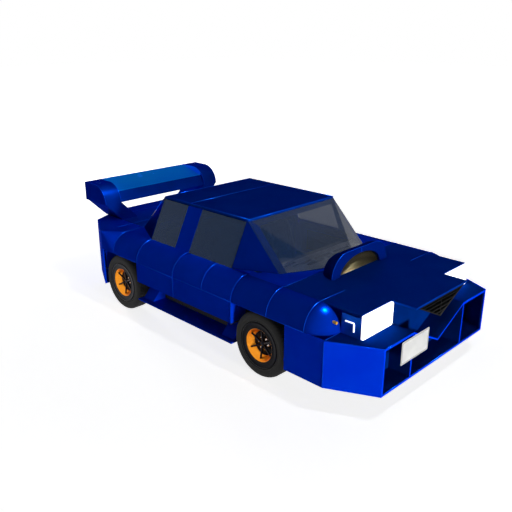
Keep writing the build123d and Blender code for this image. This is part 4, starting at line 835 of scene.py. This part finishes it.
def make_pads(name, places, half_x, half_y, thick, seams_x, seams_y, lean=None, bolster=0.0, cells=(64, 64)):
    """One pad form, puffed once and set down at each of its places, each with its piping."""
    form = outward(mesh_piece(name, *pad_form(half_x, half_y, thick, seams_x, seams_y, bolster, cells)))
    puff(form, seams_x, seams_y, half_x, half_y, thick)
    points = points_of(form.data)
    made = []
    for label, centre in places:
        pad = form
        if made:
            pad = bpy.data.objects.new(name, form.data.copy())
            bpy.context.scene.collection.objects.link(pad)
        pad.name = f"{name}_{label}"
        pad.data.vertices.foreach_set("co", stood(points, centre, lean).ravel())
        pad.data.polygons.foreach_set("use_smooth", np.ones(len(pad.data.polygons), bool))
        pad.data.update()
        pad.data.materials.clear()
        pad.data.materials.append(SEAT)
        smoothing = pad.modifiers.new("Subdivision", "SUBSURF")
        smoothing.levels = smoothing.render_levels = 1
        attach(pad, "body")
        made.append(pad)
        verts, faces = pad_piping(half_x, half_y, thick)
        piece(f"{name}_piping_{label}", (stood(verts, centre, lean), faces), PIPING, "body")
    return made


def seat_shell():
    """A moulded shell behind a seat back: a shallow arc 18 mm (1 - u^2) + 10 mm (1 - v^2), carried up the lean."""
    cells = (24, 30)
    u, v = np.meshgrid(*(np.linspace(-1, 1, count) for count in cells), indexing="ij")
    bow = 0.018 * (1 - u ** 2) + 0.010 * (1 - v ** 2)
    outer = np.stack([0.220 * u * np.sqrt(1 - 0.12 * v ** 8), 0.248 * v, -0.004 - bow], -1).reshape(-1, 3)
    inner = outer * [0.98, 0.98, 0] + [0, 0, 0.008]
    return stood(np.concatenate([outer, inner]), (SEAT_X, 0.145, 0.735), LEAN), slab_faces(*cells)


def both_seats(y, z):
    """The two front seats' labels and places."""
    return [(side_name, (side * SEAT_X, y, z)) for side_name, side in SIDES]


cushions = make_pads("front_cushion", both_seats(-0.218, 0.345), 0.228, 0.205, 0.115, (-0.135, 0.135),
                     (-0.07, 0.07), bolster=0.022)
make_pads("front_back", both_seats(0.145, 0.735), 0.222, 0.250, 0.085, (-0.130, 0.130),
          (-0.15, -0.05, 0.05, 0.15), lean=LEAN, bolster=0.022)
make_pads("head_rest", both_seats(0.235, 1.030), 0.120, 0.055, 0.080, (), (), lean=LEAN, cells=(40, 28))
make_pads("bench_cushion", [("rear", (0, 0.602, 0.375))], 0.640, 0.200, 0.085, (-0.21, 0.21), (-0.02,),
          bolster=0.006, cells=(128, 56))
make_pads("bench_back", [("rear", (0, 0.945, 0.700))], 0.640, 0.225, 0.085, (-0.21, 0.21), (-0.09, 0.06),
          lean=BENCH_LEAN, bolster=0.006, cells=(128, 56))
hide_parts("seats")


def block(name, low, high, material, bevel, side=1):
    """A block with well-rounded edges, fixed to the body."""
    piece(name, box_part(low, high), material, "body", side, bevel=bevel, segments=3)


for side_name, side in SIDES:
    piece(f"seat_shell_{side_name}", seat_shell(), TRIM, "body", side)
    block(f"seat_base_{side_name}", (SEAT_X - 0.20, -0.40, 0.262), (SEAT_X + 0.20, -0.03, 0.345), TRIM,
          0.012, side)
    rails = [box_part((x - 0.02, -0.425, 0.246), (x + 0.02, 0.02, 0.262)) for x in (SEAT_X - 0.17, SEAT_X + 0.17)]
    piece(f"seat_rails_{side_name}", joined(rails), STEEL, "body", side, bevel=0.003)
    posts = [tube([(x, 0.220, 0.965), (x, 0.232, 1.000), (x, 0.238, 1.030)], 0.006, 10)
             for x in (SEAT_X - 0.05, SEAT_X + 0.05)]
    piece(f"head_rest_posts_{side_name}", joined(posts), CHROME, "body", side)
    block(f"bench_plinth_{side_name}", (0.125, 0.42, 0.247), (0.63, 0.80, 0.370), TRIM, 0.006, side)
block("bench_base", (-0.63, 0.42, 0.368), (0.63, 0.80, 0.377), TRIM, 0.004)


# ---- Dash: pale cover under the screen, dark outlets, binnacle with two dials, small coloured controls ----
DIAL_TILT, DIAL_Z = math.radians(-20), 0.846
COVER_Z = SHOULDER_TOP + 0.004
SCREEN_CORNER, SCREEN_FLAT = (0.675, -0.890), (0.225, -1.115)   # x and y of the bends of the screen's foot


def cowl_cover():
    """A flat pale cover: at each y its half width is the screen's own, less a margin, up to a limit."""
    y = np.linspace(-1.085, -0.730, 24)
    (corner_x, corner_y), (flat_x, flat_y) = SCREEN_CORNER, SCREEN_FLAT
    bowed = flat_x + (y - flat_y) / (corner_y - flat_y) * (corner_x - flat_x)
    half = np.minimum(np.where(y < corner_y, bowed, corner_x + (y - corner_y) * 0.5) - 0.045, 0.70)
    outline = np.stack([np.append(-half, half[::-1]), np.append(y, y[::-1]), np.full(48, COVER_Z)], -1)
    return thick_outline(outline, (0, 0, -0.0035))


def binnacle(count=28):
    """A hooded arch over the dials: half ellipses of half width a and height b, one at each station y."""
    s = np.linspace(0, np.pi, count)
    loops = [np.stack([a * np.cos(s) - SEAT_X, np.full(count, y), b * np.sin(s) + 0.868], -1)
             for y, a, b in ((-0.735, 0.130, 0.036), (-0.700, 0.145, 0.046), (-0.640, 0.152, 0.052),
                             (-0.612, 0.150, 0.050), (-0.612, 0.140, 0.042), (-0.690, 0.132, 0.036),
                             (-0.735, 0.120, 0.028))]
    return np.concatenate(loops), grid_faces(len(loops), count, wrap_rows=True)


def tilted(points, x, y):
    """Points leant back about X, y' = y cos t - z sin t and z' = y sin t + z cos t, and set in the binnacle."""
    c, s = math.cos(DIAL_TILT), math.sin(DIAL_TILT)
    return points @ np.array([OUT, (0, c, s), (0, -s, c)]) + (x, y, DIAL_Z)


def dash_face(z):
    """The y of the dash's sloping rear face at a height."""
    return -0.585 - (0.83 - z) / 0.18 * 0.06


piece("cowl_cover", cowl_cover(), PALE_TRIM, smooth=False, bevel=0.0015)
outlets = [box_part((x0, y0, COVER_Z), (x1, y0 + 0.030, COVER_Z + 0.005))
           for x0, x1, y0 in ((-0.44, -0.16, -0.865), (-0.12, 0.16, -0.865), (0.20, 0.46, -0.865),
                              (-0.30, -0.04, -0.935), (0.02, 0.30, -0.935), (-0.50, -0.34, -0.800),
                              (-0.05, 0.20, -0.995))]
piece("screen_outlets", joined(outlets), TRIM, bevel=0.002)
piece("instrument_hood", binnacle(), TRIM)
dials, rings = [], []
f = np.linspace(0, 2 * np.pi, 40, endpoint=False)
for x in (-SEAT_X - 0.062, -SEAT_X + 0.062):
    verts, faces = dome_y((0, 0, 0), 0.046, 0.002, 32, 4)
    dials.append((tilted(verts * [1, -1, 1], x, -0.603), faces))
    rings.append(tube(tilted(0.048 * np.stack([np.cos(f), 0 * f, np.sin(f)], -1), x, -0.601), 0.003, 8, True))
piece("dials", joined(dials), DIAL)
piece("dial_rings", joined(rings), CHROME, "body")
for label, colour, spots in (("cyan", "#28D8E8", ((-0.60, 0.80), (-0.24, 0.845), (-0.16, 0.845))),
                             ("red", "#E02018", ((-0.57, 0.80), (-0.20, 0.81))),
                             ("yellow", "#F0D020", ((-0.60, 0.77), (-0.12, 0.81))),
                             ("white", "#F0F2F4", ((-0.57, 0.77), (-0.28, 0.81), (-0.08, 0.845)))):
    # A bright dot of one colour, seen through the screen.
    material = lamp_material(f"lit_{label}_acrylic_button", colour, colour, 4.0)
    verts, faces = dome_y((0, 0, 0), 0.010, 0.007, 16, 5)
    buttons = [(verts * [1, -1, 1] + (x, dash_face(z) - 0.002, z), faces) for x, z in spots]
    piece(f"buttons_{label}", joined(buttons), material)
vents = [box_part((x - 0.055, dash_face(z) - 0.004, z), (x + 0.055, dash_face(z) + 0.004, z + 0.005))
         for x in (-0.655, 0, 0.14, 0.655) for z in 0.808 - 0.011 * np.arange(5)]
piece("dash_vents", joined(vents), STEEL, bevel=0.001)
block("dash_screen", (-0.06, -0.632, 0.695), (0.16, -0.612, 0.760), DIAL, 0.004)
block("glove_box_lid", (0.28, -0.642, 0.690), (0.62, -0.618, 0.775), TRIM, 0.008)
block("tunnel_console", (-0.085, -0.40, 0.366), (0.085, 0.28, 0.430), TRIM, 0.014)
KNOB = [(0, 0.535), (0.012, 0.534), (0.020, 0.527), (0.022, 0.516), (0.018, 0.504), (0.009, 0.498), (0.008, 0.425),
        (0.034, 0.424), (0.036, 0.418), (0, 0.418)]
verts, faces = turned_solid(KNOB, sides=32)
piece("gear_lever", (verts[:, [1, 2, 0]] + (0, -0.25, 0), faces), TRIM)


# ---- Stage: camera, light, floor ----
def aimed(name, data, place, direction):
    """An object that looks along a direction."""
    made = bpy.data.objects.new(name, data)
    bpy.context.scene.collection.objects.link(made)
    made.location = place
    made.rotation_euler = Vector(direction).to_track_quat("-Z", "Y").to_euler()
    return made


def add_light(name, place, target, size, power, gloss=True, body=True):
    """A square soft light turned to face a point; gloss says whether it shows in highlights, and body whether
    it lights plain colour."""
    data = bpy.data.lights.new(name, "AREA")
    data.size, data.energy = size, power
    light = aimed(name, data, place, Vector(target) - Vector(place))
    light.visible_glossy, light.visible_diffuse = gloss, body


def white_rays(owner):
    """One for camera, glossy and transmission rays, and nothing for the rays that light the car."""
    seen, gloss, through = (add(owner, "LightPath", f"Is {ray} Ray") for ray in ("Camera", "Glossy", "Transmission"))
    either = add(owner, "Math", 0, {"operation": "MAXIMUM"}, i0=seen, i1=gloss)
    return add(owner, "Math", 0, {"operation": "MAXIMUM"}, i0=either, i1=through)


# The camera stands ahead and to the right of the car, a little above it.
lens = bpy.data.cameras.new("Camera")
lens.sensor_width, lens.lens = 36.0, 43.68
bpy.context.scene.camera = aimed("Camera", lens, (-4.828, -4.671, 3.083), (0.6693, 0.6632, -0.3350))

# A dim even studio, white where it is seen directly, in gloss or through glass.
world = bpy.data.worlds.new("Studio")
bpy.context.scene.world = world
world.use_nodes = True
dim = world.node_tree.nodes["Background"]
wire(dim, Color=linear("#FFFFFF"), Strength=0.04)
white = add(world, "Background", Color=linear("#FFFFFF"), Strength=1.0)
wire(world.node_tree.nodes["World Output"],
     Surface=add(world, "MixShader", "Shader", Fac=white_rays(world), i1=dim.outputs["Background"], i2=white))

# Matt pale paint on a floor that keeps the shadow near the car and fades to white 9 m away.
FLOOR, FLOOR_Z = 60.0, -0.001
corners = [(-FLOOR, -FLOOR, FLOOR_Z), (FLOOR, -FLOOR, FLOOR_Z), (FLOOR, FLOOR, FLOOR_Z), (-FLOOR, FLOOR, FLOOR_Z)]
floor = mesh_piece("floor", corners, [[0, 1, 2, 3]], smooth=False)
material, shader, where = new_material("pale_floor", Roughness=0.9, Base_Color=linear("#F4F4F4"),
                                       Specular_IOR_Level=0.0, Emission_Color=linear("#FFFFFF"))
reach = add(material, "VectorMath", "Value", {"operation": "LENGTH"}, i0=where)
glow = add(material, "MapRange", "Result", Value=reach, From_Min=2.5, From_Max=9.0, To_Min=0.8, To_Max=1.0)
wire(shader, Emission_Strength=add(material, "Math", 0, {"operation": "MULTIPLY"}, i0=glow,
                                   i1=white_rays(material)))
floor.data.materials.append(material)

MIDDLE = (0, -0.5, 0.6)
add_light("key", (-2.7, -20.0, 1.1), MIDDLE, 2.7, 3300, gloss=False)
add_light("back", (1.6, 12.0, 1.0), (0, 0.5, 0.6), 1.6, 1000, gloss=False)
add_light("top", (0.2, -4.2, 9.0), MIDDLE, 0.4, 90)
add_light("sheen", (1.2, -3.0, 9.2), MIDDLE, 1.4, 6000, body=False)
bpy.context.scene.view_settings.view_transform = "Standard"
